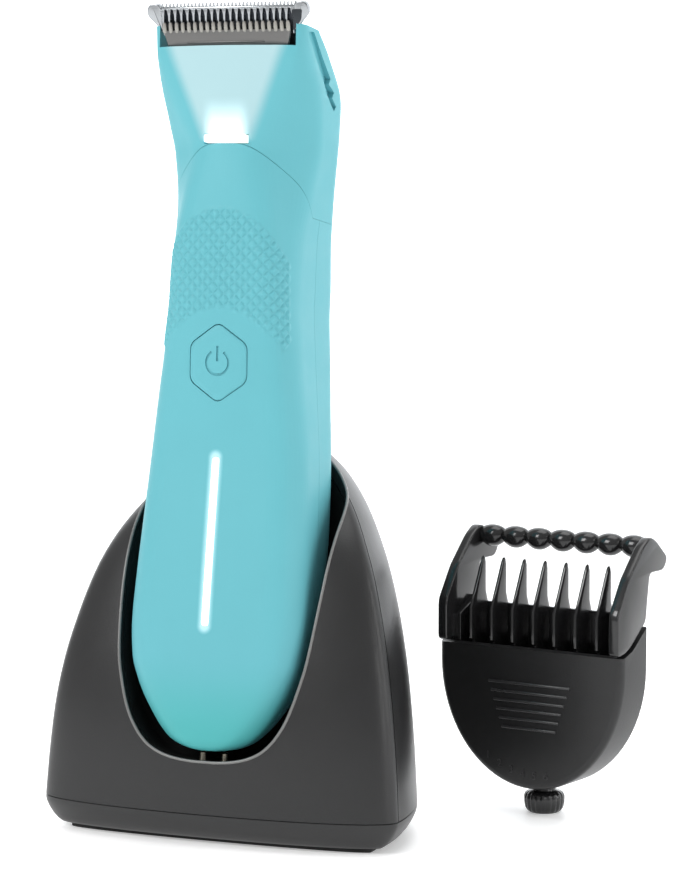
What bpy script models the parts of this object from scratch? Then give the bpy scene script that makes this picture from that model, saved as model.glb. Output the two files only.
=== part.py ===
"""Body trimmer, charging stand and adjustable guide comb.

Run with: blender --background --python part.py

The frame has its origin under the middle of the stand, on the surface that
it stands on: +Z up, the front faces -Y and +X is to the right. Sizes in this
file are in millimetres and MM turns them into metres.
"""
import math

import bmesh
import bpy
from mathutils import Matrix, Vector

MM = 0.001
GAP = 0.3                      # clear space between neighbouring pieces
MERGE = 0.00001                # metres, for modifiers that weld

# --- the trimmer in its cradle -------------------------------------------
LEAN = 8.0                     # degrees that the trimmer leans back
SEAT = (0.0, -16.0, 16.3)      # where the trimmer's own origin sits
WALL = 1.8                     # trimmer casing wall

# height, half width, front depth, front facet share, chamfer depth,
# end of the side facet, back chamfer
BODY = (
    (2.5, 5.2, 15.0, 0.60, 3.0, -9.4, 2.2),
    (5.0, 9.0, 16.4, 0.62, 4.0, -7.6, 3.0),
    (10.0, 13.4, 17.5, 0.70, 5.0, -5.2, 4.6),
    (16.0, 17.3, 17.9, 0.76, 5.4, -3.8, 5.8),
    (22.0, 19.5, 18.0, 0.80, 5.6, -2.4, 6.0),
    (30.0, 20.2, 17.9, 0.80, 5.8, -0.8, 6.0),
    (40.0, 19.8, 17.7, 0.80, 5.8, 2.2, 6.0),
    (52.0, 19.1, 17.2, 0.80, 5.8, 5.0, 6.0),
    (66.0, 18.2, 16.7, 0.80, 5.8, 6.2, 6.0),
    (78.0, 17.0, 17.4, 0.80, 6.0, 7.2, 6.0),
    (90.0, 15.6, 18.5, 0.80, 6.5, 8.8, 6.2),
    (100.0, 14.8, 19.6, 0.78, 7.5, 9.3, 6.6),
    (112.0, 14.8, 20.6, 0.72, 9.0, 8.2, 7.0),
    (122.0, 15.6, 20.8, 0.55, 10.5, 6.2, 7.4),
    (131.0, 17.0, 20.6, 0.38, 10.5, 3.6, 7.4),
    (138.0, 17.9, 21.2, 0.55, 9.0, 2.0, 7.4),
    (145.0, 18.4, 22.4, 0.74, 6.8, 0.2, 6.0),
    (152.8, 17.8, 23.6, 0.90, 4.2, -6.4, 3.4),
    (157.4, 17.6, 23.6, 0.92, 2.8, -13.0, 1.6),
)
HANDLE_LEVELS = (2.5, 3.6, 5.5, 8, 11, 15, 20, 26, 34, 44, 56, 68, 80, 90, 100, 110, 118, 126, 136)
HEAD_LEVELS = (115.0, 119, 123, 127, 131, 134, 138, 141.5, 144.5, 147.5, 150, 152.8, 155, 157.4)
SEAM_TOP = 133.0               # head seam at the front
SEAM_LOW = 118.0               # head seam round the back
SEAM_FRONT = -20.9             # where the seam starts to slope down
HEAD_EDGE = 152.8              # top edge of the head's front

BUTTON_Z = 85.4
BUTTON_HALF = (6.6, 3.9, 8.5)  # half width, corner height, tip height
BAR_LOW, BAR_HIGH, BAR_WIDTH = 28.4, 65.9, 2.5
BATTERY = (7.1, 38.0, 88.0, -3.6)      # radius, bottom, top, y
MOTOR = (7.4, 90.5, 113.0, -3.5)       # radius, bottom, top, y
CRANK = 0.8                            # eccentric throw
CONTACT_X, CONTACT_Y = 2.6, -8.8

BLADE_TILT = 20.0              # degrees that the blades lean forward
BLADE_SEAT = (0.0, -21.5, 152.8)
TOOTH_COUNT = 21
TOOTH_PITCH = 1.42

# --- the stand -------------------------------------------------------------
STAND_WALL = 2.0
# height, half width, y of the widest line, depth before it, depth behind it
STAND = (
    (7.3, 41.6, -22.0, 9.2, 52.8),
    (17.3, 40.9, -21.3, 9.2, 51.9),
    (27.3, 39.9, -20.4, 9.1, 50.6),
    (37.3, 38.3, -18.8, 8.9, 48.8),
    (47.3, 35.9, -16.3, 8.6, 45.8),
    (57.3, 32.7, -13.3, 8.0, 41.6),
    (64.3, 29.4, -10.2, 7.6, 37.4),
    (70.3, 25.6, -6.3, 7.0, 32.4),
    (76.3, 20.4, -2.0, 5.8, 26.6),
    (80.3, 15.6, 1.2, 4.2, 21.0),
    (83.3, 10.4, 3.4, 2.4, 15.6),
    (84.7, 6.2, 4.8, 1.2, 11.4),
    (85.3, 3.4, 5.6, 0.6, 8.4),
)
STAND_LEVELS = (7.3, 14, 22, 30, 38, 46, 54, 60, 65, 70, 74, 77.8, 80.8, 83.1, 84.6, 85.3)
DOME_START, DOME_RISE = 62.3, 23.0     # where the top starts to close, and over what height
BASE_TOP, BASE_EDGE, BASE_LOW, BASE_INSET = 7.0, 6.0, 1.0, 4.2
SOLE_TOP, SOLE_INSET = 0.7, 6.0
BALLAST = ((-20, -9, 7.3), (20, 20, 13.3))
INLET_HEIGHT, INLET_ANGLE = 22.3, 32.0

# --- the cradle pocket, in the trimmer's own frame ---------------------------
# height, half width, y of the back, depth of the round back
POCKET = (
    (0.7, 8.4, -3.2, 4.0),
    (3.0, 12.2, -0.8, 6.0),
    (6.0, 15.2, 1.2, 8.0),
    (10.0, 18.0, 3.2, 10.0),
    (16.0, 20.6, 5.2, 12.0),
    (22.0, 22.0, 6.6, 13.0),
    (30.0, 22.9, 8.4, 14.5),
    (40.0, 23.6, 11.0, 16.0),
    (52.0, 24.0, 13.8, 16.0),
    (66.0, 24.0, 15.2, 16.0),
    (100.0, 24.0, 15.2, 16.0),
)
POCKET_FRONT = -60.0
LINER = 1.8

# --- the comb ----------------------------------------------------------------
COMB_PLACE = (56.6, 31.0, 0.0)
COMB_TURN = -12.0
COMB_HALF = 23.6               # half width of the shield
SHIELD_FRONT, SHIELD_BACK = -7.2, 4.2
SHIELD_LOW, SHIELD_ROUND, SHIELD_TOP, SHIELD_REAR_TOP = 6.0, 34.0, 37.7, 43.5
COMB_WALL = 1.8
SPIKE_PITCH, SPIKE_COUNT = 5.4, 7
DIAL_RADIUS, DIAL_HEIGHT = 4.65, 4.8

TEAL = (0.09, 0.55, 0.60)
BLACK = (0.018, 0.018, 0.020)
STEEL = (0.55, 0.56, 0.57)


# ============================== helpers =====================================
def clear_scene():
    for item in list(bpy.data.objects):
        bpy.data.objects.remove(item, do_unlink=True)


def new_collection(name):
    found = bpy.data.collections.new(name)
    bpy.context.scene.collection.children.link(found)
    return found


def material(name, colour, roughness, metallic=0.0):
    made = bpy.data.materials.new(name)
    made.use_nodes = True
    shader = made.node_tree.nodes["Principled BSDF"]
    shader.inputs["Base Color"].default_value = (*colour, 1.0)
    shader.inputs["Roughness"].default_value = roughness
    shader.inputs["Metallic"].default_value = metallic
    return made


def empty(name, place, turn=(0.0, 0.0, 0.0), parent=None):
    made = bpy.data.objects.new(name, None)
    made.location = Vector(place) * MM
    made.rotation_euler = [math.radians(angle) for angle in turn]
    made.parent = parent
    PARTS.objects.link(made)
    return made


def link_mesh(name, mesh, finish, parent=None, place=(0, 0, 0), turn=(0, 0, 0)):
    made = bpy.data.objects.new(name, mesh)
    made.location = Vector(place) * MM
    made.rotation_euler = [math.radians(angle) for angle in turn]
    made.parent = parent
    if finish is None:
        CUTTERS.objects.link(made)
        made.hide_render = True
        made.display_type = "WIRE"
    else:
        PARTS.objects.link(made)
        mesh.materials.append(material(name, *finish))
    return made


def finish_bmesh(bm, name, smooth_angle=35.0):
    bmesh.ops.recalc_face_normals(bm, faces=bm.faces)
    mesh = bpy.data.meshes.new(name)
    bm.to_mesh(mesh)
    bm.free()
    mesh.shade_smooth()
    mesh.set_sharp_from_angle(angle=math.radians(smooth_angle))
    return mesh


def box(name, low, high, finish, parent=None, bevel=0.0):
    bm = bmesh.new()
    low, high = Vector(low) * MM, Vector(high) * MM
    size = high - low
    place = Matrix.Translation((low + high) / 2) @ Matrix.Diagonal((*size, 1.0))
    bmesh.ops.create_cube(bm, size=1.0, matrix=place)
    made = link_mesh(name, finish_bmesh(bm, name), finish, parent)
    if bevel:
        edge = made.modifiers.new("edges", "BEVEL")
        edge.width = bevel * MM
        edge.segments = 1
    return made


def cylinder(name, radius, start, end, finish, parent=None, sides=20, top_radius=None):
    """A straight pin or cone between two points."""
    start, end = Vector(start) * MM, Vector(end) * MM
    axis = end - start
    place = Matrix.Translation((start + end) / 2) @ axis.to_track_quat("Z", "Y").to_matrix().to_4x4()
    bm = bmesh.new()
    bmesh.ops.create_cone(bm, cap_ends=True, segments=sides, radius1=radius * MM,
                          radius2=(radius if top_radius is None else top_radius) * MM,
                          depth=axis.length, matrix=place)
    return link_mesh(name, finish_bmesh(bm, name), finish, parent)


def turned(name, profile, finish, parent=None, place=(0, 0, 0), turn=(0, 0, 0), steps=20):
    """A turned piece: radius and height pairs that run down its outer side."""
    mesh = bpy.data.meshes.new(name)
    points = [(radius * MM, 0.0, height * MM) for radius, height in profile]
    edges = [(i, i + 1) for i in range(len(points) - 1)]
    mesh.from_pydata(points, edges, [])
    made = link_mesh(name, mesh, finish, parent, place, turn)
    screw = made.modifiers.new("turn", "SCREW")
    screw.steps = screw.render_steps = steps
    screw.use_merge_vertices = True
    screw.merge_threshold = MERGE
    screw.use_smooth_shade = False
    return made


def outline_mesh(name, outline, thickness):
    """A flat outline in X and Y with a thickness in Z, as one welded mesh."""
    curve = bpy.data.curves.new(name + "_outline", "CURVE")
    curve.dimensions = "2D"
    curve.fill_mode = "BOTH"
    curve.extrude = thickness * MM / 2
    spline = curve.splines.new("POLY")
    spline.points.add(len(outline) - 1)
    for point, (x, y) in zip(spline.points, outline):
        point.co = (x * MM, y * MM, 0.0, 1.0)
    spline.use_cyclic_u = True
    holder = bpy.data.objects.new(name + "_outline", curve)
    bpy.context.scene.collection.objects.link(holder)
    graph = bpy.context.evaluated_depsgraph_get()
    mesh = bpy.data.meshes.new_from_object(holder.evaluated_get(graph))
    bpy.data.objects.remove(holder, do_unlink=True)
    bm = bmesh.new()
    bm.from_mesh(mesh)
    bmesh.ops.remove_doubles(bm, verts=bm.verts, dist=MERGE / 10)
    return finish_bmesh(bm, name)


def front_plate(name, outline, y_low, y_high, finish, parent=None, place=(0, 0, 0)):
    """A plate whose outline is given in X and Z."""
    mesh = outline_mesh(name, outline, y_high - y_low)
    mesh.transform(Matrix.Translation((0, (y_low + y_high) / 2 * MM, 0)) @ Matrix.Rotation(math.pi / 2, 4, "X"))
    return link_mesh(name, mesh, finish, parent, place)


def side_plate(name, outline, x_low, x_high, finish, parent=None, place=(0, 0, 0)):
    """A plate whose outline is given in Y and Z."""
    mesh = outline_mesh(name, outline, x_high - x_low)
    swap = Matrix(((0, 0, 1, (x_low + x_high) / 2 * MM), (1, 0, 0, 0), (0, 1, 0, 0), (0, 0, 0, 1)))
    mesh.transform(swap)
    return link_mesh(name, mesh, finish, parent, place)


def wire(name, points, radius, finish, parent=None):
    """A bent wire with filled ends."""
    curve = bpy.data.curves.new(name, "CURVE")
    curve.dimensions = "3D"
    curve.bevel_depth = radius * MM
    curve.bevel_resolution = 2
    curve.use_fill_caps = True
    spline = curve.splines.new("POLY")
    spline.points.add(len(points) - 1)
    for point, place in zip(spline.points, points):
        point.co = (*(Vector(place) * MM), 1.0)
    made = bpy.data.objects.new(name, curve)
    made.parent = parent
    curve.materials.append(material(name, *finish))
    PARTS.objects.link(made)
    return made


def cut(piece, cutter, operation="DIFFERENCE"):
    step = piece.modifiers.new(operation.lower(), "BOOLEAN")
    step.operation = operation
    step.solver = "EXACT"
    step.object = cutter


def table_row(table, height):
    """Values of a table of sections at a height, on smooth monotone curves."""
    heights = [row[0] for row in table]
    height = min(max(height, heights[0]), heights[-1])
    index = max(i for i in range(len(table) - 1) if heights[i] <= height)
    step = heights[index + 1] - heights[index]
    share = (height - heights[index]) / step

    def slope(at, column):
        if at in (0, len(table) - 1):
            near = 0 if at == 0 else at - 1
            return (table[near + 1][column] - table[near][column]) / (heights[near + 1] - heights[near])
        before = (table[at][column] - table[at - 1][column]) / (heights[at] - heights[at - 1])
        after = (table[at + 1][column] - table[at][column]) / (heights[at + 1] - heights[at])
        return 0.0 if before * after <= 0 else 2 * before * after / (before + after)

    values = []
    for column in range(1, len(table[0])):
        start, end = table[index][column], table[index + 1][column]
        tilt_in, tilt_out = slope(index, column) * step, slope(index + 1, column) * step
        s2, s3 = share ** 2, share ** 3
        values.append((2 * s3 - 3 * s2 + 1) * start + (s3 - 2 * s2 + share) * tilt_in
                      + (3 * s2 - 2 * s3) * end + (s3 - s2) * tilt_out)
    return values


def soften(before, corner, after, share=0.3, limit=2.2):
    """Two points that cut a corner off, by a share of each side or the limit."""
    corner = Vector(corner)
    points = []
    for near in (before, after):
        side = Vector(near) - corner
        points.append(tuple(corner + side * min(share, limit / side.length)))
    return points


def body_arcs(height, inset=0.0):
    """The trimmer's section at a height, as a front arc and a rear arc."""
    half, front, facet, chamfer, side, back_chamfer = table_row(BODY, height)
    face = facet * (half - inset)
    half, front = half - inset, front - inset
    crown = 0.06 * half
    reach = max(back_chamfer - inset, 0.8)
    corners = [(0, -front), (face, -front + crown), (half, -front + chamfer)]
    ends = [(half, side), (half - reach, side + reach), (0, side + reach + 1.0)]
    seam = (corners[2][1] + side) / 2
    front_half = [corners[0]]
    front_half += soften(corners[0], corners[1], corners[2]) + soften(corners[1], corners[2], ends[0])
    front_half.append((half, seam - GAP / 2))
    rear_half = [(half, seam + GAP / 2)]
    rear_half += soften(corners[2], ends[0], ends[1]) + soften(ends[0], ends[1], ends[2])
    rear_half.append(ends[2])
    front_arc = [(-x, y) for x, y in reversed(front_half[1:])] + front_half
    rear_arc = rear_half + [(-x, y) for x, y in reversed(rear_half[:-1])]
    return front_arc, rear_arc


def body_ring(height, inset=0.0):
    front_arc, rear_arc = body_arcs(height, inset)
    return front_arc + rear_arc


def stand_arcs(height, inset=0.0, count=17):
    """The stand's section: a gently bowed front and a round back."""
    half, widest, before, behind = table_row(STAND, height)
    thin = min(1.0, (half - 0.45 * half) / max(inset, 0.001)) * inset
    half, before, behind = half - thin, max(before - thin, 0.3 * before), behind - thin
    arcs = []
    for depth, power, sign in ((before, 2.2, -1), (behind, 1.95, 1)):
        arc = []
        for index in range(count):
            angle = math.pi * index / (count - 1)
            along, across = -math.cos(angle), math.sin(angle)
            x = half * math.copysign(abs(along) ** (2 / power), along)
            y = widest + sign * (GAP / 2 + (depth - GAP / 2) * abs(across) ** (2 / power))
            arc.append((x, y) if sign < 0 else (-x, y))
        arcs.append(arc)
    return arcs


def rows_to_verts(bm, rows):
    return [[bm.verts.new(Vector(point) * MM) for point in row] for row in rows]


def strip(bm, first, second, closed):
    count = len(first)
    for index in range(count if closed else count - 1):
        following = (index + 1) % count
        bm.faces.new((first[index], first[following], second[following], second[index]))


def half_shell(name, outer, inner, finish, parent=None, cap_low=False, cap_high=False):
    """A shell between two stacks of open arcs, capped at one end if asked."""
    bm = bmesh.new()
    outside, inside = rows_to_verts(bm, outer), rows_to_verts(bm, inner)
    for rows in (outside, inside):
        for low, high in zip(rows, rows[1:]):
            strip(bm, low, high, closed=False)
    for low in range(len(outer) - 1):
        for edge in (0, -1):
            bm.faces.new((outside[low][edge], outside[low + 1][edge], inside[low + 1][edge], inside[low][edge]))
    for level, capped in ((0, cap_low), (-1, cap_high)):
        if capped:
            bm.faces.new(outside[level])
            bm.faces.new(inside[level])
            bm.faces.new((outside[level][0], outside[level][-1], inside[level][-1], inside[level][0]))
        else:
            strip(bm, outside[level], inside[level], closed=False)
    return link_mesh(name, finish_bmesh(bm, name), finish, parent)


def tube_shell(name, outer, inner, finish, parent=None):
    """A shell between two stacks of closed rings, open at both ends."""
    bm = bmesh.new()
    outside, inside = rows_to_verts(bm, outer), rows_to_verts(bm, inner)
    for rows in (outside, inside):
        for low, high in zip(rows, rows[1:]):
            strip(bm, low, high, closed=True)
    for level in (0, -1):
        strip(bm, outside[level], inside[level], closed=True)
    return link_mesh(name, finish_bmesh(bm, name), finish, parent)


def loft(name, rows, finish, parent=None):
    """A solid through a stack of closed rings."""
    bm = bmesh.new()
    rings = rows_to_verts(bm, rows)
    for low, high in zip(rings, rings[1:]):
        strip(bm, low, high, closed=True)
    bm.faces.new(rings[0])
    bm.faces.new(rings[-1])
    return link_mesh(name, finish_bmesh(bm, name), finish, parent)


def at_height(points, height):
    return [(x, y, height) for x, y in points]


# ============================== the trimmer =================================
def seam_zone(name, above, parent):
    """The space on one side of the head seam, as a cutter."""
    shift = GAP / 2 if above else -GAP / 2
    bend_y = SEAM_FRONT + SEAM_TOP - SEAM_LOW
    line = [(-60, SEAM_TOP - shift), (SEAM_FRONT, SEAM_TOP - shift), (bend_y, SEAM_LOW - shift), (60, SEAM_LOW - shift)]
    far = 220 if above else 60
    return side_plate(name, line + [(60, far), (-60, far)], -40, 40, None, parent)


def button_outline(grow=0.0):
    half, corner, tip = (value + grow for value in BUTTON_HALF)
    return [(0, -tip), (half, -corner), (half, corner), (0, tip), (-half, corner), (-half, -corner)]


def screw_profile(head_radius, head_height, shank_radius, length):
    """A pan head on a shank; the head's top is at height 0 and the shank goes down."""
    slot_radius, slot_depth = 0.3 * head_radius, 0.4 * head_height
    return [(0, -slot_depth), (slot_radius, -slot_depth), (slot_radius * 1.1, 0), (head_radius * 0.9, 0),
            (head_radius, -0.25 * head_height), (head_radius, -head_height), (shank_radius, -head_height),
            (shank_radius, -length + 0.6), (0, -length)]


def make_casing(trimmer):
    outer, inner = [], []
    for level in HANDLE_LEVELS:
        height_in = level + WALL * max(0.0, 1 - (level - HANDLE_LEVELS[0]) / 8.0)
        outer.append([at_height(arc, level) for arc in body_arcs(level)])
        inner.append([at_height(arc, height_in) for arc in body_arcs(level, WALL)])
    cover = half_shell("front_cover", [row[0] for row in outer], [row[0] for row in inner],
                       (TEAL, 0.42), trimmer, cap_low=True)
    housing = half_shell("rear_housing", [row[1] for row in outer], [row[1] for row in inner],
                         (TEAL, 0.42), trimmer, cap_low=True)
    head = tube_shell("head_housing", [at_height(body_ring(z), z) for z in HEAD_LEVELS],
                      [at_height(body_ring(z, WALL), z) for z in HEAD_LEVELS], (TEAL, 0.40), trimmer)
    zone = seam_zone("cut_head_zone", True, trimmer)
    cut(cover, zone)
    cut(housing, zone)
    cut(head, seam_zone("cut_handle_zone", False, trimmer))
    cut(head, box("cut_head_top", (-15.9, -40, HEAD_EDGE), (15.9, 40, 175), None, trimmer))
    cut(head, box("cut_blade_room", (-15.4, -22.2, HEAD_EDGE - 4), (15.4, -12, 160), None, trimmer))

    hole = front_plate("cut_button", button_outline(GAP), -30, -10, None, trimmer, (0, 0, BUTTON_Z))
    cut(cover, hole)
    cut(cover, box("cut_light_bar", (-BAR_WIDTH / 2 - GAP, -30, BAR_LOW - GAP),
                   (BAR_WIDTH / 2 + GAP, -12, BAR_HIGH + GAP), None, trimmer))
    notch = box("cut_lens", (-5.2, -30, 132.2), (5.2, -17.6, 134.4), None, trimmer)
    cut(cover, notch)
    cut(head, notch)
    for side in (-1, 1):
        well = cylinder(f"cut_contact_{side}", 1.4, (side * CONTACT_X, CONTACT_Y, 0),
                        (side * CONTACT_X, CONTACT_Y, 7), None, trimmer, 16)
        cut(housing, well)
    return housing


def make_light_and_button(trimmer):
    def bar_ring(height):
        front = table_row(BODY, height)[1]
        half = BAR_WIDTH / 2
        return [(-half, -front, height), (half, -front, height),
                (half, -front + 2.6, height), (-half, -front + 2.6, height)]

    levels = [BAR_LOW + (BAR_HIGH - BAR_LOW) * step / 4 for step in range(5)]
    loft("light_bar", [bar_ring(z) for z in levels], ((0.95, 0.97, 1.0), 0.3), trimmer)

    front = table_row(BODY, BUTTON_Z)[1]
    button = front_plate("power_button", button_outline(), -front - 0.1, -front + 2.2,
                         (TEAL, 0.36), trimmer, (0, 0, BUTTON_Z))
    edge = button.modifiers.new("edges", "BEVEL")
    edge.width = 0.3 * MM
    edge.segments = 1
    box("button_switch", (-3, -front + 2.2 + 1.1, BUTTON_Z - 3), (3, -front + 4.7, BUTTON_Z + 3),
        (BLACK, 0.5), trimmer, 0.2)
    box("led_lens", (-4.9, -20.5, 132.5), (4.9, -18.2, 134.1), ((0.9, 0.95, 1.0), 0.15), trimmer, 0.15)
    box("led_board", (-4.2, -17.0, 130.4), (4.2, -16.0, 135.8), ((0.05, 0.25, 0.12), 0.5), trimmer)


def make_internals(trimmer, housing):
    front = table_row(BODY, BUTTON_Z)[1]
    board_y = -front + 5.0
    box("main_circuit_board", (-7.5, board_y, 30), (7.5, board_y + 1.0, 112), ((0.03, 0.22, 0.10), 0.5), trimmer)
    radius, low, high, y = BATTERY
    turned("battery_cell", [(0, high), (2.4, high), (2.5, high - 1), (radius - 0.8, high - 1), (radius, high - 1.8),
                            (radius, low + 0.8), (radius - 0.8, low), (0, low)],
           ((0.12, 0.35, 0.55), 0.35), trimmer, (0, y + 0.6, 0))
    radius, low, high, y = MOTOR
    motor = turned("motor_can", [(0, high), (2.6, high), (2.6, high - 0.9), (radius - 0.6, high - 0.9),
                                 (radius, high - 1.5), (radius, low + 1.2), (radius - 1.2, low), (0, low)],
                   (STEEL, 0.3, 1.0), trimmer, (0, y, 0))
    bore = cylinder("cut_motor_bore", 1.3, (0, y, 100), (0, y, 116), None, trimmer, 16)
    cut(motor, bore)
    shaft = turned("motor_shaft", [(0, 121.2), (3.0, 121.2), (3.4, 120.8), (3.4, 118.8), (3.0, 118.4), (1.0, 118.4),
                                   (1.0, 101.0), (0, 101.0)], (STEEL, 0.25, 1.0), trimmer, (0, y, 0), steps=16)
    pin = cylinder("cut_crank_pin", 0.8, (0, y - CRANK, 120.0), (0, y - CRANK, 126.4), None, trimmer, 12)
    cut(shaft, pin, "UNION")

    ring = body_ring(115, WALL + 0.5)
    plate = loft("motor_bracket", [at_height(ring, 113.8), at_height(ring, 115.6)], ((0.10, 0.10, 0.11), 0.5), trimmer)
    cut(plate, cylinder("cut_bracket_bore", 1.6, (0, y, 110), (0, y, 118), None, trimmer, 16))
    cut(plate, box("cut_bracket_wires", (-8.2, -22, 113), (8.2, board_y + 1.6, 117), None, trimmer))

    collar_outer = [(11.4, -7.4), (6.4, -14.6), (-6.4, -14.6), (-11.4, -7.4), (-11.4, 2.6), (-7.4, 7.4), (7.4, 7.4),
                    (11.4, 2.6)]
    collar_inner = [(x * 0.88, y * 0.88) for x, y in collar_outer]
    tube_shell("neck_collar", [at_height(collar_outer, 116.0), at_height(collar_outer, 127.0)],
               [at_height(collar_inner, 116.0), at_height(collar_inner, 127.0)], ((0.10, 0.10, 0.11), 0.5), trimmer)
    seal_outer = [(x * 1.05, y * 1.03) for x, y in collar_outer]
    seal_inner = [(x * 1.02, y * 1.012) for x, y in collar_outer]
    tube_shell("head_seal", [at_height(seal_outer, 119.6), at_height(seal_outer, 121.0)],
               [at_height(seal_inner, 119.6), at_height(seal_inner, 121.0)], (BLACK, 0.7), trimmer)

    chassis = box("inner_chassis", (-7.8, 4.5, 46), (7.8, 5.8, 112), ((0.10, 0.10, 0.11), 0.5), trimmer, 0.3)
    for name, height in (("lower_screw", 56.0), ("upper_screw", 104.0)):
        back = body_arcs(height)[1]
        depth = max(y for x, y in back)
        turned(name, screw_profile(2.2, 0.9, 1.2, depth - 5.2), (STEEL, 0.3, 1.0), trimmer, (0, depth - 0.1, height),
               (-90, 0, 0), 16)
        head_hole = cylinder(f"cut_{name}_head", 2.5, (0, depth - 1.3, height), (0, depth + 5, height), None, trimmer)
        shank_hole = cylinder(f"cut_{name}_shank", 1.5, (0, 2, height), (0, depth + 5, height), None, trimmer, 16)
        cut(housing, head_hole)
        cut(housing, shank_hole)
        cut(chassis, shank_hole)

    for side, name in ((-1, "left"), (1, "right")):
        turned(f"charge_contact_{name}", [(0, 4.2), (1.1, 4.2), (1.1, 2.6), (0, 2.6)],
               ((0.80, 0.62, 0.28), 0.25, 1.0), trimmer, (side * CONTACT_X, CONTACT_Y, 0), steps=16)


def toothed_outline(right_end, root, tip, tooth):
    """A toothed strip: the right end's points run up to the teeth, and the left end mirrors them."""
    outline = list(right_end)
    for index in reversed(range(TOOTH_COUNT)):
        centre = (index - (TOOTH_COUNT - 1) / 2) * TOOTH_PITCH
        outline += [(centre + tooth / 2, root), (centre + tooth * 0.3, tip), (centre - tooth * 0.3, tip),
                    (centre - tooth / 2, root)]
    return outline + [(-x, y) for x, y in reversed(right_end)]


def make_blades(trimmer):
    seat = empty("blade_seat", BLADE_SEAT, (BLADE_TILT, 0, 0), trimmer)
    moving = toothed_outline([(14.0, -2.6), (14.7, 3.0)], 3.4, 5.4, 0.86)
    front_plate("moving_blade", moving, 0.0, 0.8, ((0.60, 0.57, 0.50), 0.35, 0.6), seat)
    lobe = [(14.4, -1.9), (14.6, 5.9), (16.6, 5.7), (18.8, 7.8), (18.8, 8.6), (17.6, 9.4), (15.6, 9.2), (15.2, 3.4)]
    fixed = toothed_outline(lobe, 3.2, 9.0, 0.84)
    front_plate("fixed_blade", fixed, 1.1, 2.5, (STEEL, 0.28, 1.0), seat)
    carrier = box("blade_carrier", (-14.6, 2.8, -2.0), (14.6, 9.0, 2.6), (BLACK, 0.45), seat, 0.4)
    for side, name in ((-1, "left"), (1, "right")):
        hole = cylinder(f"cut_blade_screw_{name}", 1.3, (side * 9, 5.0, 0.2), (side * 9, 12, 0.2), None, seat, 16)
        cut(carrier, hole)
        turned(f"blade_screw_{name}", screw_profile(1.9, 0.9, 1.0, 4.0), (STEEL, 0.3, 1.0), seat,
               (side * 9, 10.2, 0.2), (-90, 0, 0), 14)

    y = MOTOR[3]
    yoke = box("drive_yoke", (-5.0, y - 6.2, 122.0), (5.0, y + 5.4, 125.2), ((0.85, 0.85, 0.82), 0.4), trimmer)
    cut(yoke, box("cut_yoke_slot", (-2.7, y - 4.4, 121), (2.7, y + 3.6, 127), None, trimmer))
    cut(yoke, box("cut_yoke_arm", (-2.6, y - 7.4, 122.0), (2.6, y - 5.4, 147.6), None, trimmer), "UNION")
    cut(yoke, box("cut_yoke_tip", (-2.2, -18.6, 146.4), (2.2, y - 6.4, 147.6), None, trimmer), "UNION")
    spring = [(-11, -12.5, 146.5), (-9.5, -12.5, 141.0), (-5, -12.8, 138.2), (5, -12.8, 138.2),
              (9.5, -12.5, 141.0), (11, -12.5, 146.5)]
    wire("blade_spring", spring, 0.4, (STEEL, 0.25, 1.0), trimmer)


# ============================== the stand ===================================
def pocket_ring(height, grow=0.0, count=13):
    half, back, round_depth = table_row(POCKET, height)
    half, back = half + grow, back + grow
    start = back - round_depth - grow
    ring = [(half, POCKET_FRONT), (half, (POCKET_FRONT + start) / 2)]
    for index in range(count):
        angle = math.pi * index / (count - 1)
        ring.append((half * math.cos(angle), start + (back - start) * math.sin(angle)))
    ring += [(-half, (POCKET_FRONT + start) / 2), (-half, POCKET_FRONT)]
    return ring


def pocket(name, grow, parent):
    levels = (0.7, 2.0, 4.0, 7, 11, 16, 22, 30, 40, 52, 66, 100)
    rows = []
    for level in levels:
        height = level - grow * max(0.0, 1 - (level - levels[0]) / 12.0)
        rows.append(at_height(pocket_ring(level, grow), height))
    return loft(name, rows, None, parent)


def inlet_frame():
    """Centre of the inlet on the stand's outer wall, and the way it faces."""
    half, widest, before, behind = table_row(STAND, INLET_HEIGHT)
    angle = math.radians(INLET_ANGLE)
    spot = Vector((half * math.cos(angle), widest + behind * math.sin(angle), INLET_HEIGHT))
    facing = Vector((math.cos(angle) / half, math.sin(angle) / behind, 0.0)).normalized()
    return spot, facing


def under_dome(level, thickness):
    """The height of an inner surface that is a thickness below the closing top."""
    return level - thickness * max(0.0, (level - DOME_START) / DOME_RISE)


def make_stand_shells(cradle):
    outer, inner = [], []
    for level in STAND_LEVELS:
        outer.append([at_height(arc, level) for arc in stand_arcs(level)])
        inner.append([at_height(arc, under_dome(level, STAND_WALL)) for arc in stand_arcs(level, STAND_WALL)])
    mouth = pocket("cut_mouth", 0.0, cradle)
    shells = []
    for side, name in ((0, "stand_front_shell"), (1, "stand_rear_shell")):
        shell = half_shell(name, [row[side] for row in outer], [row[side] for row in inner],
                           (BLACK, 0.35), None, cap_high=True)
        cut(shell, mouth)
        shells.append(shell)
    spot, facing = inlet_frame()
    cut(shells[1], cylinder("cut_inlet", 4.3, spot - facing * 6, spot + facing * 6, None, None, 24))
    return shells


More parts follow.
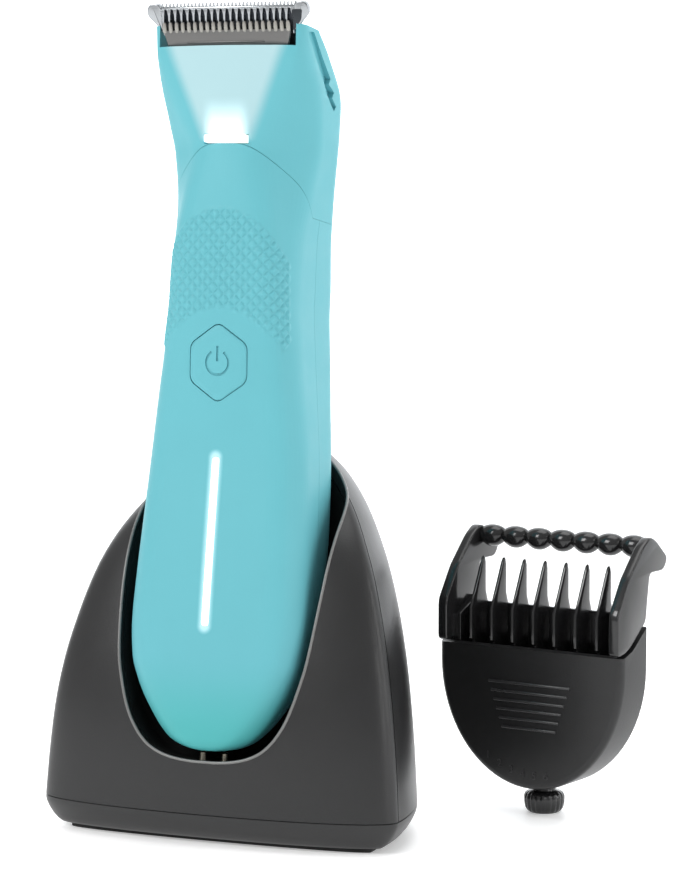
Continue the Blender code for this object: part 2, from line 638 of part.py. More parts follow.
def make_cradle(cradle):
    inset = STAND_WALL + GAP
    room = [at_height([point for arc in stand_arcs(level, inset) for point in arc], under_dome(level, inset))
            for level in (BALLAST[0][2] + 4.0,) + STAND_LEVELS[2:]]
    liner = loft("cradle_liner", room, (BLACK, 0.5))
    cut(liner, pocket("cut_liner_outside", LINER, cradle), "INTERSECT")
    cut(liner, pocket("cut_liner_inside", 0.0, cradle))
    for side, name in ((-1, "left"), (1, "right")):
        x = side * CONTACT_X
        hole = cylinder(f"cut_pin_{name}", 1.3, (x, CONTACT_Y, -8), (x, CONTACT_Y, 3), None, cradle, 16)
        cut(liner, hole)
    block = box("pin_holder", (-5.6, CONTACT_Y - 2.2, -6.2), (5.6, CONTACT_Y + 2.2, -1.5), (BLACK, 0.5), cradle)
    for side, name in ((-1, "left"), (1, "right")):
        x = side * CONTACT_X
        cut(block, cylinder(f"cut_holder_{name}", 1.25, (x, CONTACT_Y, -8), (x, CONTACT_Y, 1), None, cradle, 16))
        turned(f"charge_pin_{name}", [(0, 2.2), (0.5, 2.1), (0.75, 1.7), (0.75, -1.2), (0.95, -1.5), (0.95, -5.0),
                                      (0, -5.0)], ((0.80, 0.62, 0.28), 0.25, 1.0), cradle,
               (x, CONTACT_Y, 0), steps=14)


def make_base():
    def footprint(inset):
        return [point for arc in stand_arcs(STAND_LEVELS[0], inset) for point in arc]

    base = loft("stand_base_plate", [at_height(footprint(BASE_INSET), BASE_LOW), at_height(footprint(0.0), BASE_EDGE),
                                     at_height(footprint(0.0), BASE_TOP)], (BLACK, 0.4))
    loft("base_sole", [at_height(footprint(SOLE_INSET), 0.0), at_height(footprint(SOLE_INSET), SOLE_TOP)],
         (BLACK, 0.8))
    ballast = box("ballast_plate", *BALLAST, ((0.35, 0.36, 0.38), 0.4, 1.0), None, 0.5)
    places = ((-15, -4), (15, -4), (-15, 15), (15, 15))
    for number, (x, y) in enumerate(places, 1):
        turned(f"base_screw_{number}", screw_profile(2.8, 1.4, 1.4, 9.8), (STEEL, 0.3, 1.0), None,
               (x, y, BASE_LOW + 0.2), (180, 0, 0), 16)
        head_hole = cylinder(f"cut_base_head_{number}", 3.1, (x, y, 0), (x, y, 3.0), None, None, 16)
        shank_hole = cylinder(f"cut_base_shank_{number}", 1.7, (x, y, 0), (x, y, 12.3), None, None, 16)
        cut(base, head_hole)
        cut(base, shank_hole)
        cut(ballast, shank_hole)
    box("stand_circuit_board", (-14, -27.4, 7.5), (14, -13, 8.7), ((0.03, 0.22, 0.10), 0.5))
    spot, facing = inlet_frame()
    turn = (0, 90, math.degrees(math.atan2(facing.y, facing.x)))
    place = tuple(spot - facing * 0.5)
    turned("inlet_socket", [(2.75, -9.0), (2.75, 0), (4.0, 0), (4.0, -10.5), (0, -10.5), (0, -9.0), (2.75, -9.0)],
           (BLACK, 0.4), None, place, turn, 20)
    turned("inlet_pin", [(0, -1.0), (0.6, -1.1), (0.8, -1.5), (0.8, -8.7), (0, -8.7)],
           ((0.80, 0.62, 0.28), 0.25, 1.0), None, place, turn, 12)


# ============================== the comb ====================================
def shield_outline(inset=0.0, top=SHIELD_TOP, count=11):
    half, drop = COMB_HALF - inset, SHIELD_ROUND - SHIELD_LOW - inset
    outline = [(half, top)]
    for index in range(count):
        angle = math.pi * index / (count - 1)
        outline.append((half * math.cos(angle), SHIELD_ROUND - drop * math.sin(angle)))
    outline.append((-half, top))
    return outline


def make_comb_housing(comb):
    housing = front_plate("comb_housing", shield_outline(top=SHIELD_REAR_TOP), SHIELD_FRONT, SHIELD_BACK,
                          (BLACK, 0.4), comb)
    hollow = front_plate("cut_comb_hollow", shield_outline(COMB_WALL, 60.0), SHIELD_FRONT + COMB_WALL, 20, None, comb)
    cut(housing, hollow)
    slope = side_plate("cut_comb_top", [(-20, SHIELD_TOP), (SHIELD_FRONT + 1, SHIELD_TOP), (-2.4, SHIELD_TOP + 1.2),
                                        (SHIELD_BACK, SHIELD_REAR_TOP), (20, 60), (-20, 60)], -30, 30, None, comb)
    cut(housing, slope)
    cut(housing, cylinder("cut_dial_bore", 3.0, (0, 0, 2), (0, 0, 12), None, comb, 20))
    cover = front_plate("comb_back_cover", shield_outline(COMB_WALL + GAP, 40.0), SHIELD_BACK - 1.6, SHIELD_BACK - 0.2,
                        (BLACK, 0.4), comb)
    cut(cover, cylinder("cut_cover_notch", 4.0, (0, 0, 7), (0, 0, 10.4), None, comb, 20))


def make_comb_teeth(comb):
    """The sliding part: two cheeks, a cross wall, the row of spikes and the lobed bar."""
    cheek = [(-8.6, 38.2), (-8.6, 47.5), (-3.6, 54.9), (3.0, 61.4), (6.4, 63.4), (9.2, 62.2), (14.6, 58.0),
             (12.8, 55.2), (6.2, 55.2), (5.0, 48.0), (4.6, 44.6), (-2.2, 39.6), (-5.4, 38.2)]
    tongue = [(-4.8, 34.0), (-4.8, 44.0), (2.4, 47.5), (2.4, 34.0)]
    outer, inner = COMB_HALF - 0.4, COMB_HALF - COMB_WALL - GAP - 0.1
    teeth = side_plate("comb_teeth", cheek, inner - 0.6, outer, (BLACK, 0.25), comb)
    cut(teeth, side_plate("cut_cheek", cheek, -outer, -inner + 0.6, None, comb), "UNION")
    for side in (-1, 1):
        low, high = sorted((side * inner, side * (inner - 2.0)))
        cut(teeth, side_plate(f"cut_tongue_{side}", tongue, low, high, None, comb), "UNION")
    cut(teeth, box("cut_cross_wall", (-inner + 1, 0.8, 33.0), (inner - 1, 2.5, 46.5), None, comb), "UNION")
    spike = [(-5.8, 38.2), (-5.8, 46.0), (-0.5, 56.8), (0.3, 56.8), (0.4, 49.0), (1.7, 46.0), (1.7, 35.0),
             (-4.6, 35.0), (-4.6, 38.2)]
    for index in range(SPIKE_COUNT):
        x = (index - (SPIKE_COUNT - 1) / 2) * SPIKE_PITCH
        cut(teeth, side_plate(f"cut_spike_{index}", spike, x - 0.5, x + 0.5, None, comb), "UNION")
    bar = cylinder("cut_lobe_bar", 1.5, (-inner, 7.6, 61.0), (inner, 7.6, 61.0), None, comb, 10)
    cut(teeth, bar, "UNION")
    cut(teeth, box("cut_stem", (-4.0, -2.6, 12.0), (4.0, 2.5, 19.5), None, comb), "UNION")
    cut(teeth, box("cut_stem_plate", (-4.2, 1.5, 12.2), (4.2, 2.4, 34.0), None, comb), "UNION")
    cut(teeth, cylinder("cut_stem_bore", 1.45, (0, 0, 10), (0, 0, 24), None, comb, 16))
    return teeth


def make_comb_drive(comb):
    turned("selector_dial", [(0, 9.6), (3.6, 9.6), (3.6, 8.8), (2.6, 8.8), (2.6, DIAL_HEIGHT + 0.6),
                             (DIAL_RADIUS - 0.6, DIAL_HEIGHT + 0.4), (DIAL_RADIUS, DIAL_HEIGHT - 0.4),
                             (DIAL_RADIUS - 0.4, 1.0), (DIAL_RADIUS - 1.2, 0.0), (0, 0)], (BLACK, 0.3), comb, steps=28)
    turned("dial_spindle", [(0, 32.0), (0.8, 32.0), (1.2, 31.4), (1.2, 9.9), (0, 9.9)],
           (STEEL, 0.3, 1.0), comb, steps=14)
    leaf = [(-9.4, 0, 14.6), (-8.0, 0, 12.9), (-6.6, 0, 11.5), (-5.4, 0, 10.6), (-4.7, 0, 9.9)]
    wire("detent_spring", leaf, 0.3, (STEEL, 0.3, 1.0), comb)


def build():
    clear_scene()
    trimmer = empty("trimmer_seat", SEAT, (-LEAN, 0, 0))
    cradle = empty("cradle_seat", SEAT, (-LEAN, 0, 0))
    comb = empty("comb_seat", COMB_PLACE, (0, 0, COMB_TURN))
    housing = make_casing(trimmer)
    make_light_and_button(trimmer)
    make_internals(trimmer, housing)
    make_blades(trimmer)
    make_stand_shells(cradle)
    make_cradle(cradle)
    make_base()
    make_comb_housing(comb)
    make_comb_teeth(comb)
    make_comb_drive(comb)


clear_scene()
PARTS = new_collection("body_trimmer_with_stand_and_comb")
CUTTERS = new_collection("cutters")
build()
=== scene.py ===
"""Looks for the body trimmer, its charging stand and its guide comb.

Sizes are in millimetres and MM turns them into metres. The section tables
follow the CAD part's, apart from the rows at the handle's foot and at the
pocket's floor, which are rounder here.
"""

import math

import bmesh
import bpy
import numpy as np
from mathutils import Matrix, Vector


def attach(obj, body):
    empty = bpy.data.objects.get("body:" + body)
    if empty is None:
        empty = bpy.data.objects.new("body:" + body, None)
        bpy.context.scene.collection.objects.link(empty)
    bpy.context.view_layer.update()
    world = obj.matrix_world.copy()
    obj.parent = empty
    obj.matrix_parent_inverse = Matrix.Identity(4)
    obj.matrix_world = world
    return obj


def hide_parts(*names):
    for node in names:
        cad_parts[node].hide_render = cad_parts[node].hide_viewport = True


MM = 0.001
GAP = 0.3                                  # clearance between neighbouring pieces
WALL = 1.8                                 # of the trimmer's housings
SPLIT = 0.06                               # gap shown between the front and rear housings

# --- where things stand -------------------------------------------------------
LEAN = 8.0                                 # degrees that the trimmer leans back
SEAT = (0.0, -16.0, 16.3)
BLADE_SEAT, BLADE_TILT = (0.0, -21.5, 152.8), 20.0
COMB_PLACE, COMB_TURN = (56.6, 31.0, 0.0), -12.0

# --- the camera ---------------------------------------------------------------
VIEW_TURN, VIEW_RISE = 22.0, 5.3           # degrees to the right of the front, and up
VIEW_DISTANCE, VIEW_LENS = 650.0, 123.8
VIEW_AIM = (24.4, -12.8, 86.5)

# height, half width, front depth, front facet share, chamfer depth,
# end of the side facet, back chamfer
BODY = (
    (2.4, 2.4, 13.6, 0.60, 1.4, -10.8, 1.0),
    (2.7, 4.7, 14.6, 0.60, 2.6, -9.9, 1.9),
    (3.5, 7.5, 15.6, 0.61, 3.7, -8.8, 2.6),
    (5.0, 10.0, 16.5, 0.62, 4.4, -7.6, 3.4),
    (10.0, 14.1, 17.5, 0.68, 5.2, -5.2, 4.8),
    (16.0, 17.5, 17.9, 0.75, 5.5, -3.8, 5.8),
    (22.0, 19.5, 18.0, 0.80, 5.6, -2.4, 6.0),
    (30.0, 20.2, 17.9, 0.80, 5.8, -0.8, 6.0),
    (40.0, 19.8, 17.7, 0.80, 5.8, 2.2, 6.0),
    (52.0, 19.1, 17.2, 0.80, 5.8, 5.0, 6.0),
    (66.0, 18.2, 16.7, 0.80, 5.8, 6.2, 6.0),
    (78.0, 17.0, 17.4, 0.80, 6.0, 7.2, 6.0),
    (90.0, 15.6, 18.5, 0.80, 6.5, 8.8, 6.2),
    (100.0, 14.8, 19.6, 0.78, 7.5, 9.3, 6.6),
    (112.0, 14.8, 20.6, 0.72, 9.0, 8.2, 7.0),
    (122.0, 15.6, 20.8, 0.55, 10.5, 6.2, 7.4),
    (131.0, 17.0, 20.6, 0.38, 10.5, 3.6, 7.4),
    (138.0, 17.9, 21.2, 0.55, 9.0, 2.0, 7.4),
    (145.0, 18.4, 22.4, 0.74, 6.8, 0.2, 6.0),
    (152.8, 17.8, 23.6, 0.90, 4.2, -6.4, 3.4),
    (157.4, 17.6, 23.6, 0.92, 2.8, -13.0, 1.6),
)
SEAM_TOP, SEAM_LOW, SEAM_FRONT = 133.0, 118.0, -20.9
HEAD_EDGE = 152.8
BLADE_ROOM = ((-22.1, 160.0), (-22.1, 152.6), (-21.0, 150.0), (-12.0, 150.0), (-12.0, 160.0))
BUTTON_Z = 85.4
BUTTON_HALF = (6.6, 3.9, 8.5)              # half width, corner height, tip height
BAR_LOW, BAR_HIGH, BAR_WIDTH = 29.1, 65.2, 1.6
BAR_MIDDLE = (BAR_LOW + BAR_HIGH) / 2
LENS_Z = 133.3
LENS_NOTCH = ((-5.2, -30, 132.2), (5.2, -17.6, 134.4))
SCREW_HEIGHTS = (56.0, 104.0)
FRONT_COLUMNS, REAR_COLUMNS, HEAD_COLUMNS = 181, 91, 220
CONTACT_X, CONTACT_Y = 2.6, -8.8
TOOTH_COUNT, TOOTH_PITCH = 21, 1.44
TOOTH_MIDDLE = -0.1
FRINGE_COUNT, FRINGE_PITCH = 37, 0.86

# the diamond grip: its pitch, and its top and bottom arches over the section's own width
DIAMOND_WIDE, DIAMOND_HIGH, DIAMOND_RISE = 2.5, 2.6, 0.32
GRIP_TOP, GRIP_TOP_BOW = 118.7, 0.042
GRIP_LOW, GRIP_LOW_BOW = 96.6, 0.041
GRIP_HALF, GRIP_CORNER = 17.0, 87.7

# height, half width, y of the widest line, depth before it, depth behind it
STAND = (
    (7.3, 41.6, -22.0, 9.2, 52.8),
    (17.3, 40.9, -21.3, 9.2, 51.9),
    (27.3, 39.9, -20.4, 9.1, 50.6),
    (37.3, 38.3, -18.8, 8.9, 48.8),
    (47.3, 35.9, -16.3, 8.6, 45.8),
    (57.3, 32.7, -13.3, 8.0, 41.6),
    (64.3, 29.4, -10.2, 7.6, 37.4),
    (70.3, 25.6, -6.3, 7.0, 32.4),
    (76.3, 20.4, -2.0, 5.8, 26.6),
    (80.3, 15.6, 1.2, 4.2, 21.0),
    (83.3, 10.4, 3.4, 2.4, 15.6),
    (84.7, 6.2, 4.8, 1.2, 11.4),
    (85.3, 3.4, 5.6, 0.6, 8.4),
)
STAND_WALL = 2.0
# just over the base plate, so that no light shows through the seam
SHELL_FOOT = 7.08
DOME_START, DOME_RISE = 62.3, 23.0
FRONT_POWER, BACK_POWER = 2.2, 1.95
INLET_HEIGHT, INLET_ANGLE = 22.3, 32.0
# height, inset of the base plate's edge at it
BASE_EDGE = ((1.0, 4.6), (1.15, 3.7), (1.8, 2.7), (3.0, 1.6), (4.4, 0.7), (5.6, 0.15),
             (6.3, 0.0), (6.8, 0.0), (7.0, 0.2))
SOLE_TOP, SOLE_INSET = 0.7, 6.0

# the cradle pocket, in the trimmer's own frame: height, half width, y of the back,
# depth of its round back
POCKET = (
    (0.0, 2.6, -6.4, 1.6),
    (0.2, 5.2, -5.0, 2.8),
    (0.8, 8.6, -3.6, 3.9),
    (1.8, 11.4, -2.2, 4.9),
    (3.2, 13.7, -0.8, 6.0),
    (6.0, 16.3, 1.2, 8.0),
    (10.0, 18.6, 3.2, 10.0),
    (16.0, 20.6, 5.2, 12.0),
    (22.0, 22.0, 6.6, 13.0),
    (30.0, 22.9, 8.4, 14.5),
    (40.0, 23.6, 11.0, 16.0),
    (52.0, 24.0, 13.8, 16.0),
    (66.0, 24.0, 15.2, 16.0),
    (100.0, 24.0, 15.2, 16.0),
)
POCKET_FRONT = -60.0
LINER = 1.8

COMB_HALF = 23.6
SHIELD_FRONT, SHIELD_BACK = -7.2, 4.2
SHIELD_LOW, SHIELD_ROUND, SHIELD_TOP, SHIELD_REAR_TOP = 6.0, 34.0, 37.7, 43.5
COMB_WALL = 1.8
SPIKE_PITCH, SPIKE_COUNT = 5.4, 7
DIAL_RADIUS = 4.65

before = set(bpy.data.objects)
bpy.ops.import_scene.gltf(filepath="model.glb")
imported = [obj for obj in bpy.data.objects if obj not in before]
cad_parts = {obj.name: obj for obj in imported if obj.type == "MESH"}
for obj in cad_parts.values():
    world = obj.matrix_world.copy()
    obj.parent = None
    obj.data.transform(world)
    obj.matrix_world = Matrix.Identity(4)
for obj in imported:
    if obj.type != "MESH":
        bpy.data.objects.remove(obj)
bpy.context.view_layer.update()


def turned_about(axis, degrees):
    return Matrix.Rotation(math.radians(degrees), 4, axis)


def moved(place):
    return Matrix.Translation(Vector(place) * MM)


WORLD = Matrix.Identity(4)
TRIMMER = moved(SEAT) @ turned_about("X", -LEAN)
BLADES = TRIMMER @ moved(BLADE_SEAT) @ turned_about("X", BLADE_TILT)
COMB = moved(COMB_PLACE) @ turned_about("Z", COMB_TURN)


# ============================== shape helpers =================================
def table_row(table, height):
    """Values of a table of sections at a height, on smooth monotone curves."""
    heights = [row[0] for row in table]
    height = min(max(height, heights[0]), heights[-1])
    index = max(i for i in range(len(table) - 1) if heights[i] <= height)
    step = heights[index + 1] - heights[index]
    share = (height - heights[index]) / step

    def slope(at, column):
        if at in (0, len(table) - 1):
            near = 0 if at == 0 else at - 1
            return (table[near + 1][column] - table[near][column]) / (heights[near + 1] - heights[near])
        before = (table[at][column] - table[at - 1][column]) / (heights[at] - heights[at - 1])
        after = (table[at + 1][column] - table[at][column]) / (heights[at + 1] - heights[at])
        return 0.0 if before * after <= 0 else 2 * before * after / (before + after)

    values = []
    for column in range(1, len(table[0])):
        start, end = table[index][column], table[index + 1][column]
        tilt_in, tilt_out = slope(index, column) * step, slope(index + 1, column) * step
        s2, s3 = share ** 2, share ** 3
        values.append((2 * s3 - 3 * s2 + 1) * start + (s3 - 2 * s2 + share) * tilt_in
                      + (3 * s2 - 2 * s3) * end + (s3 - s2) * tilt_out)
    return values


def front_depth(height):
    return table_row(BODY, height)[1]


def half_turn(count):
    """Evenly spaced angles from 0 to a half turn."""
    return np.pi * np.arange(count) / (count - 1)


def full_turn(count):
    """Evenly spaced angles round a whole turn, without the last."""
    return 2 * np.pi * np.arange(count) / count


def bulged(values, power):
    """Values raised to a power with their signs kept."""
    return np.sign(values) * np.abs(values) ** power


def rounded(path, reaches, share=0.45, steps=7):
    """A path with each inner corner replaced by a curve that starts at most its reach before it."""
    path = [np.array(point, float) for point in path]
    points = [path[0]]
    for before, corner, after, reach in zip(path, path[1:], path[2:], reaches):
        ends = []
        for near in (before, after):
            side = near - corner
            ends.append(corner + side * min(share, reach / max(np.linalg.norm(side), 1e-6)))
        for t in np.linspace(0, 1, steps):
            points.append((1 - t) ** 2 * ends[0] + 2 * t * (1 - t) * corner + t ** 2 * ends[1])
    points.append(path[-1])
    return np.array(points)


def rounded_loop(corners, reach, share=0.45, steps=7):
    """A closed outline with every corner rounded."""
    count = len(corners)
    loop = []
    for index in range(count):
        trio = [corners[index - 1], corners[index], corners[(index + 1) % count]]
        loop += list(rounded(trio, [reach], share, steps)[1:-1])
    return np.array(loop)


def resampled(points, count):
    """The same path with evenly spaced points."""
    steps = np.linalg.norm(np.diff(points, axis=0), axis=1)
    along = np.concatenate([[0], np.cumsum(steps)])
    spots = np.linspace(0, along[-1], count)
    return np.stack([np.interp(spots, along, points[:, axis]) for axis in range(points.shape[1])], 1)


def body_paths(height, inset=0.0):
    """The trimmer's section at a height, as a front path and a rear path with soft corners."""
    half, front, facet, chamfer, side, back_chamfer = table_row(BODY, height)
    face = facet * (half - inset)
    half, front = half - inset, front - inset
    crown = 0.06 * half
    reach = max(back_chamfer - inset, 0.8)
    seam = (-front + chamfer + side) / 2
    right = [(face, -front + crown), (half, -front + chamfer), (half, seam - SPLIT / 2)]
    mirrored = [(-x, y) for x, y in reversed(right)]
    front_path = rounded(mirrored + [(0, -front)] + right, (3.4, 4.2, 9.0, 4.2, 3.4))
    right = [(half, seam + SPLIT / 2), (half, side), (half - reach, side + reach), (0, side + reach + 1.0)]
    mirrored = [(-x, y) for x, y in reversed(right[:-1])]
    rear_path = rounded(right + mirrored, (3.2, 4.0, 6.0, 4.0, 3.2))
    return front_path, rear_path


def at_height(points, height):
    return np.column_stack([points, np.full(len(points), height)])


def stand_arcs(height, inset=0.0, count=73):
    """The stand's section: a gently bowed front and a round back."""
    half, widest, before, behind = table_row(STAND, height)
    thin = min(1.0, (half - 0.45 * half) / max(inset, 0.001)) * inset
    half, before, behind = half - thin, max(before - thin, 0.3 * before), behind - thin
    angle = half_turn(count)
    arcs = []
    for depth, power, sign in ((before, FRONT_POWER, -1), (behind, BACK_POWER, 1)):
        along, across = -np.cos(angle), np.sin(angle)
        x = half * bulged(along, 2 / power)
        y = widest + sign * (GAP / 2 + (depth - GAP / 2) * np.abs(across) ** (2 / power))
        arcs.append(np.column_stack([x if sign < 0 else -x, y]))
    return arcs


def inside_stand(point):
    """True for a world point, in millimetres, within the stand's outer surface."""
    x, y, z = point
    if not STAND[0][0] <= z <= STAND[-1][0]:
        return z < STAND[0][0]
    half, widest, before, behind = table_row(STAND, z)
    depth, power = (before, FRONT_POWER) if y < widest else (behind, BACK_POWER)
    return abs(x / half) ** power + abs((y - widest) / depth) ** power < 1


def pocket_ring(height, grow=0.0, count=41):
    """The pocket's section: straight sides and a round back, open towards the front."""
    half, back, round_depth = table_row(POCKET, height)
    half, back = half + grow, back + grow
    start = back - round_depth - grow
    angle = half_turn(count)
    bow = np.column_stack([half * np.cos(angle), start + (back - start) * np.sin(angle)])
    side = [(half, POCKET_FRONT), (half, (POCKET_FRONT + start) / 2)]
    return np.array(side + list(map(tuple, bow)) + [(-x, y) for x, y in reversed(side)])


# ============================== mesh helpers ==================================
def shade(mesh, angle=32.0):
    mesh.shade_smooth()
    mesh.set_sharp_from_angle(angle=math.radians(angle))
    return mesh


def placed(name, data, place=WORLD):
    """A new object in the scene, placed by a matrix."""
    made = bpy.data.objects.new(name, data)
    made.matrix_world = place
    bpy.context.scene.collection.objects.link(made)
    return made


def written(name, bm, mesh, place, angle=32.0):
    """An object from a bmesh, written to a mesh with its faces turned outwards."""
    bmesh.ops.recalc_face_normals(bm, faces=bm.faces)
    bm.to_mesh(mesh)
    bm.free()
    return placed(name, shade(mesh, angle), place)


def new_mesh(name, verts, faces, place=WORLD):
    """A mesh object from millimetre points, placed by a matrix."""
    mesh = bpy.data.meshes.new(name)
    mesh.from_pydata([tuple(map(float, np.array(v) * MM)) for v in verts], [], faces)
    bm = bmesh.new()
    bm.from_mesh(mesh)
    return written(name, bm, mesh, place)


def picks(count, step, closed):
    """Every step-th index, with the last one where the row is open."""
    chosen = list(range(0, count, step))
    if not closed and chosen[-1] != count - 1:
        chosen.append(count - 1)
    return chosen


def grid_faces(rows, columns, closed, start=0):
    faces = []
    for i in range(rows - 1):
        for j in range(columns if closed else columns - 1):
            k = (j + 1) % columns
            faces.append((start + i * columns + j, start + i * columns + k,
                          start + (i + 1) * columns + k, start + (i + 1) * columns + j))
    return faces


def shell(name, outer, inner_of, step, place, closed=False, cap_low=False, cap_high=False):
    """A thin shell: a fine outer grid, and a coarser inner one that inner_of(row, column) gives."""
    rows, columns = outer.shape[:2]
    row_picks, column_picks = picks(rows, step, False), picks(columns, step, closed)
    inner = np.array([[inner_of(i, j) for j in column_picks] for i in row_picks])
    inner_columns = len(column_picks)
    verts = np.concatenate([outer.reshape(-1, 3), inner.reshape(-1, 3)])
    base = rows * columns
    faces = grid_faces(rows, columns, closed) + grid_faces(len(row_picks), inner_columns, closed, base)

    def out(i, j):
        return i * columns + j % columns

    def within(i, j):
        return base + i * inner_columns + j % inner_columns

    if not closed:
        for edge, inner_edge in ((0, 0), (columns - 1, inner_columns - 1)):
            for k in range(len(row_picks) - 1):
                outside = [out(i, edge) for i in range(row_picks[k], row_picks[k + 1] + 1)]
                faces.append(tuple(outside + [within(k + 1, inner_edge), within(k, inner_edge)]))
    ends = column_picks + ([columns] if closed else [])
    for level, inner_level, capped in ((0, 0, cap_low), (rows - 1, len(row_picks) - 1, cap_high)):
        if capped:
            faces.append(tuple(out(level, j) for j in range(columns)))
            faces.append(tuple(within(inner_level, j) for j in range(inner_columns)))
            faces.append((out(level, 0), out(level, columns - 1),
                          within(inner_level, inner_columns - 1), within(inner_level, 0)))
            continue
        for k in range(len(ends) - 1):
            outside = [out(level, j) for j in range(ends[k], ends[k + 1] + 1)]
            faces.append(tuple(outside + [within(inner_level, k + 1), within(inner_level, k)]))
    return new_mesh(name, verts, faces, place)


def loft(name, rings, place=WORLD):
    """A closed solid through a stack of closed rings."""
    rows, columns = len(rings), len(rings[0])
    faces = grid_faces(rows, columns, True)
    faces += [tuple(range(columns)), tuple(range((rows - 1) * columns, rows * columns))]
    return new_mesh(name, np.concatenate(rings), faces, place)


def prism(name, outline, low, high, axes, place=WORLD):
    """A straight prism: an outline in two axes, drawn out along the third."""
    along = ({0, 1, 2} - set(axes)).pop()
    rings = []
    for value in (low, high):
        ring = np.zeros((len(outline), 3))
        ring[:, list(axes)] = [point[:2] for point in outline]
        ring[:, along] = value
        rings.append(ring)
    return loft(name, rings, place)


def block(name, low, high, place=WORLD):
    corners = [(low[0], low[1]), (high[0], low[1]), (high[0], high[1]), (low[0], high[1])]
    return prism(name, corners, low[2], high[2], (0, 1), place)


def circle(radius, count=32, centre=(0.0, 0.0)):
    angle = full_turn(count)
    return np.column_stack([centre[0] + radius * np.cos(angle), centre[1] + radius * np.sin(angle)])


def rod(name, radius, start, end, place=WORLD, count=24):
    """A round bar between two points with its end edges rounded."""
    start, end = Vector(start), Vector(end)
    axis = end - start
    soft = min(0.25 * radius, 0.2 * axis.length)
    turn = axis.to_track_quat("Z", "Y").to_matrix().to_4x4()
    rings = [at_height(circle(r, count), h) for r, h in (
        (radius - soft, 0), (radius - 0.3 * soft, 0.3 * soft), (radius, soft), (radius, axis.length - soft),
        (radius - 0.3 * soft, axis.length - 0.3 * soft), (radius - soft, axis.length))]
    return loft(name, rings, place @ moved(start) @ turn)


def slab(name, outline, thickness, bevel, place=WORLD, segments=3):
    """A flat piece with rounded edges, its outline in X and Y and its middle at height 0."""
    mesh = bpy.data.meshes.new(name)
    low = -thickness / 2 * MM
    mesh.from_pydata([(x * MM, y * MM, low) for x, y in outline], [], [tuple(range(len(outline)))])
    bm = bmesh.new()
    bm.from_mesh(mesh)
    raised = bmesh.ops.extrude_face_region(bm, geom=list(bm.faces))
    moved_verts = [item for item in raised["geom"] if isinstance(item, bmesh.types.BMVert)]
    bmesh.ops.translate(bm, verts=moved_verts, vec=(0, 0, thickness * MM))
    rim = [edge for edge in bm.edges if abs(edge.verts[0].co.z - edge.verts[1].co.z) < 1e-9]
    if bevel:
        bmesh.ops.bevel(bm, geom=rim, offset=bevel * MM, segments=segments, profile=0.5, affect="EDGES")
    return written(name, bm, mesh, place, 40.0)


# a slab's X, Y become Y, Z with the first and X, Z with the second
SIDE_ON = Matrix(((0, 0, 1, 0), (1, 0, 0, 0), (0, 1, 0, 0), (0, 0, 0, 1)))
FACE_ON = Matrix(((1, 0, 0, 0), (0, 0, 1, 0), (0, 1, 0, 0), (0, 0, 0, 1)))


def face_slab(name, outline, thickness, bevel, place, y, segments=3):
    """A slab that stands face on at a depth, its outline in X and Z."""
    return slab(name, outline, thickness, bevel, place @ moved((0, y, 0)) @ FACE_ON, segments)


def side_slab(name, outline, thickness, bevel, place, x):
    """A slab that stands side on at a place across, its outline in Y and Z."""
    return slab(name, outline, thickness, bevel, place @ moved((x, 0, 0)) @ SIDE_ON)


def joined(name, pieces):
    """Several mesh objects as one, in the first one's frame."""
    base = pieces[0]
    bm = bmesh.new()
    for piece in pieces:
        copy = piece.data.copy()
        copy.transform(base.matrix_world.inverted() @ piece.matrix_world)
        bm.from_mesh(copy)
        bpy.data.meshes.remove(copy)
    made = written(name, bm, bpy.data.meshes.new(name), base.matrix_world.copy())
    for piece in pieces:
        bpy.data.objects.remove(piece, do_unlink=True)
    return made


def carve(piece, cutters, operation="DIFFERENCE", angle=32.0):
    """Cuts solids out of a piece, or keeps what they share, and removes them."""
    for cutter in cutters:
        step = piece.modifiers.new("cut", "BOOLEAN")
        step.operation = operation
        step.solver = "EXACT"
        step.object = cutter
    bpy.context.view_layer.update()
    graph = bpy.context.evaluated_depsgraph_get()
    mesh = bpy.data.meshes.new_from_object(piece.evaluated_get(graph))
    piece.modifiers.clear()
    piece.data = shade(mesh, angle)
    for cutter in cutters:
        bpy.data.objects.remove(cutter, do_unlink=True)
    return piece


def tube(name, points, radius, place, closed):
    """A round wire through points."""
    curve = bpy.data.curves.new(name, "CURVE")
    curve.dimensions = "3D"
    curve.bevel_depth = radius * MM
    curve.bevel_resolution = 4
    curve.use_fill_caps = True
    spline = curve.splines.new("POLY")
    spline.points.add(len(points) - 1)
    for point, spot in zip(spline.points, points):
        point.co = (*(Vector(spot) * MM), 1.0)
    spline.use_cyclic_u = closed
    return placed(name, curve, place)


def finish_piece(piece, body, stands_for, finish):
    """Gives a piece its material and its body, and hides the CAD nodes that it stands for."""
    if piece.type == "MESH":
        piece.data.transform(piece.matrix_world)
        piece.matrix_world = WORLD
    piece.data.materials.clear()
    piece.data.materials.append(finish)
    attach(piece, body)
    names = [stands_for] if isinstance(stands_for, str) else list(stands_for)
    if names:
        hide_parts(*names)
    return piece


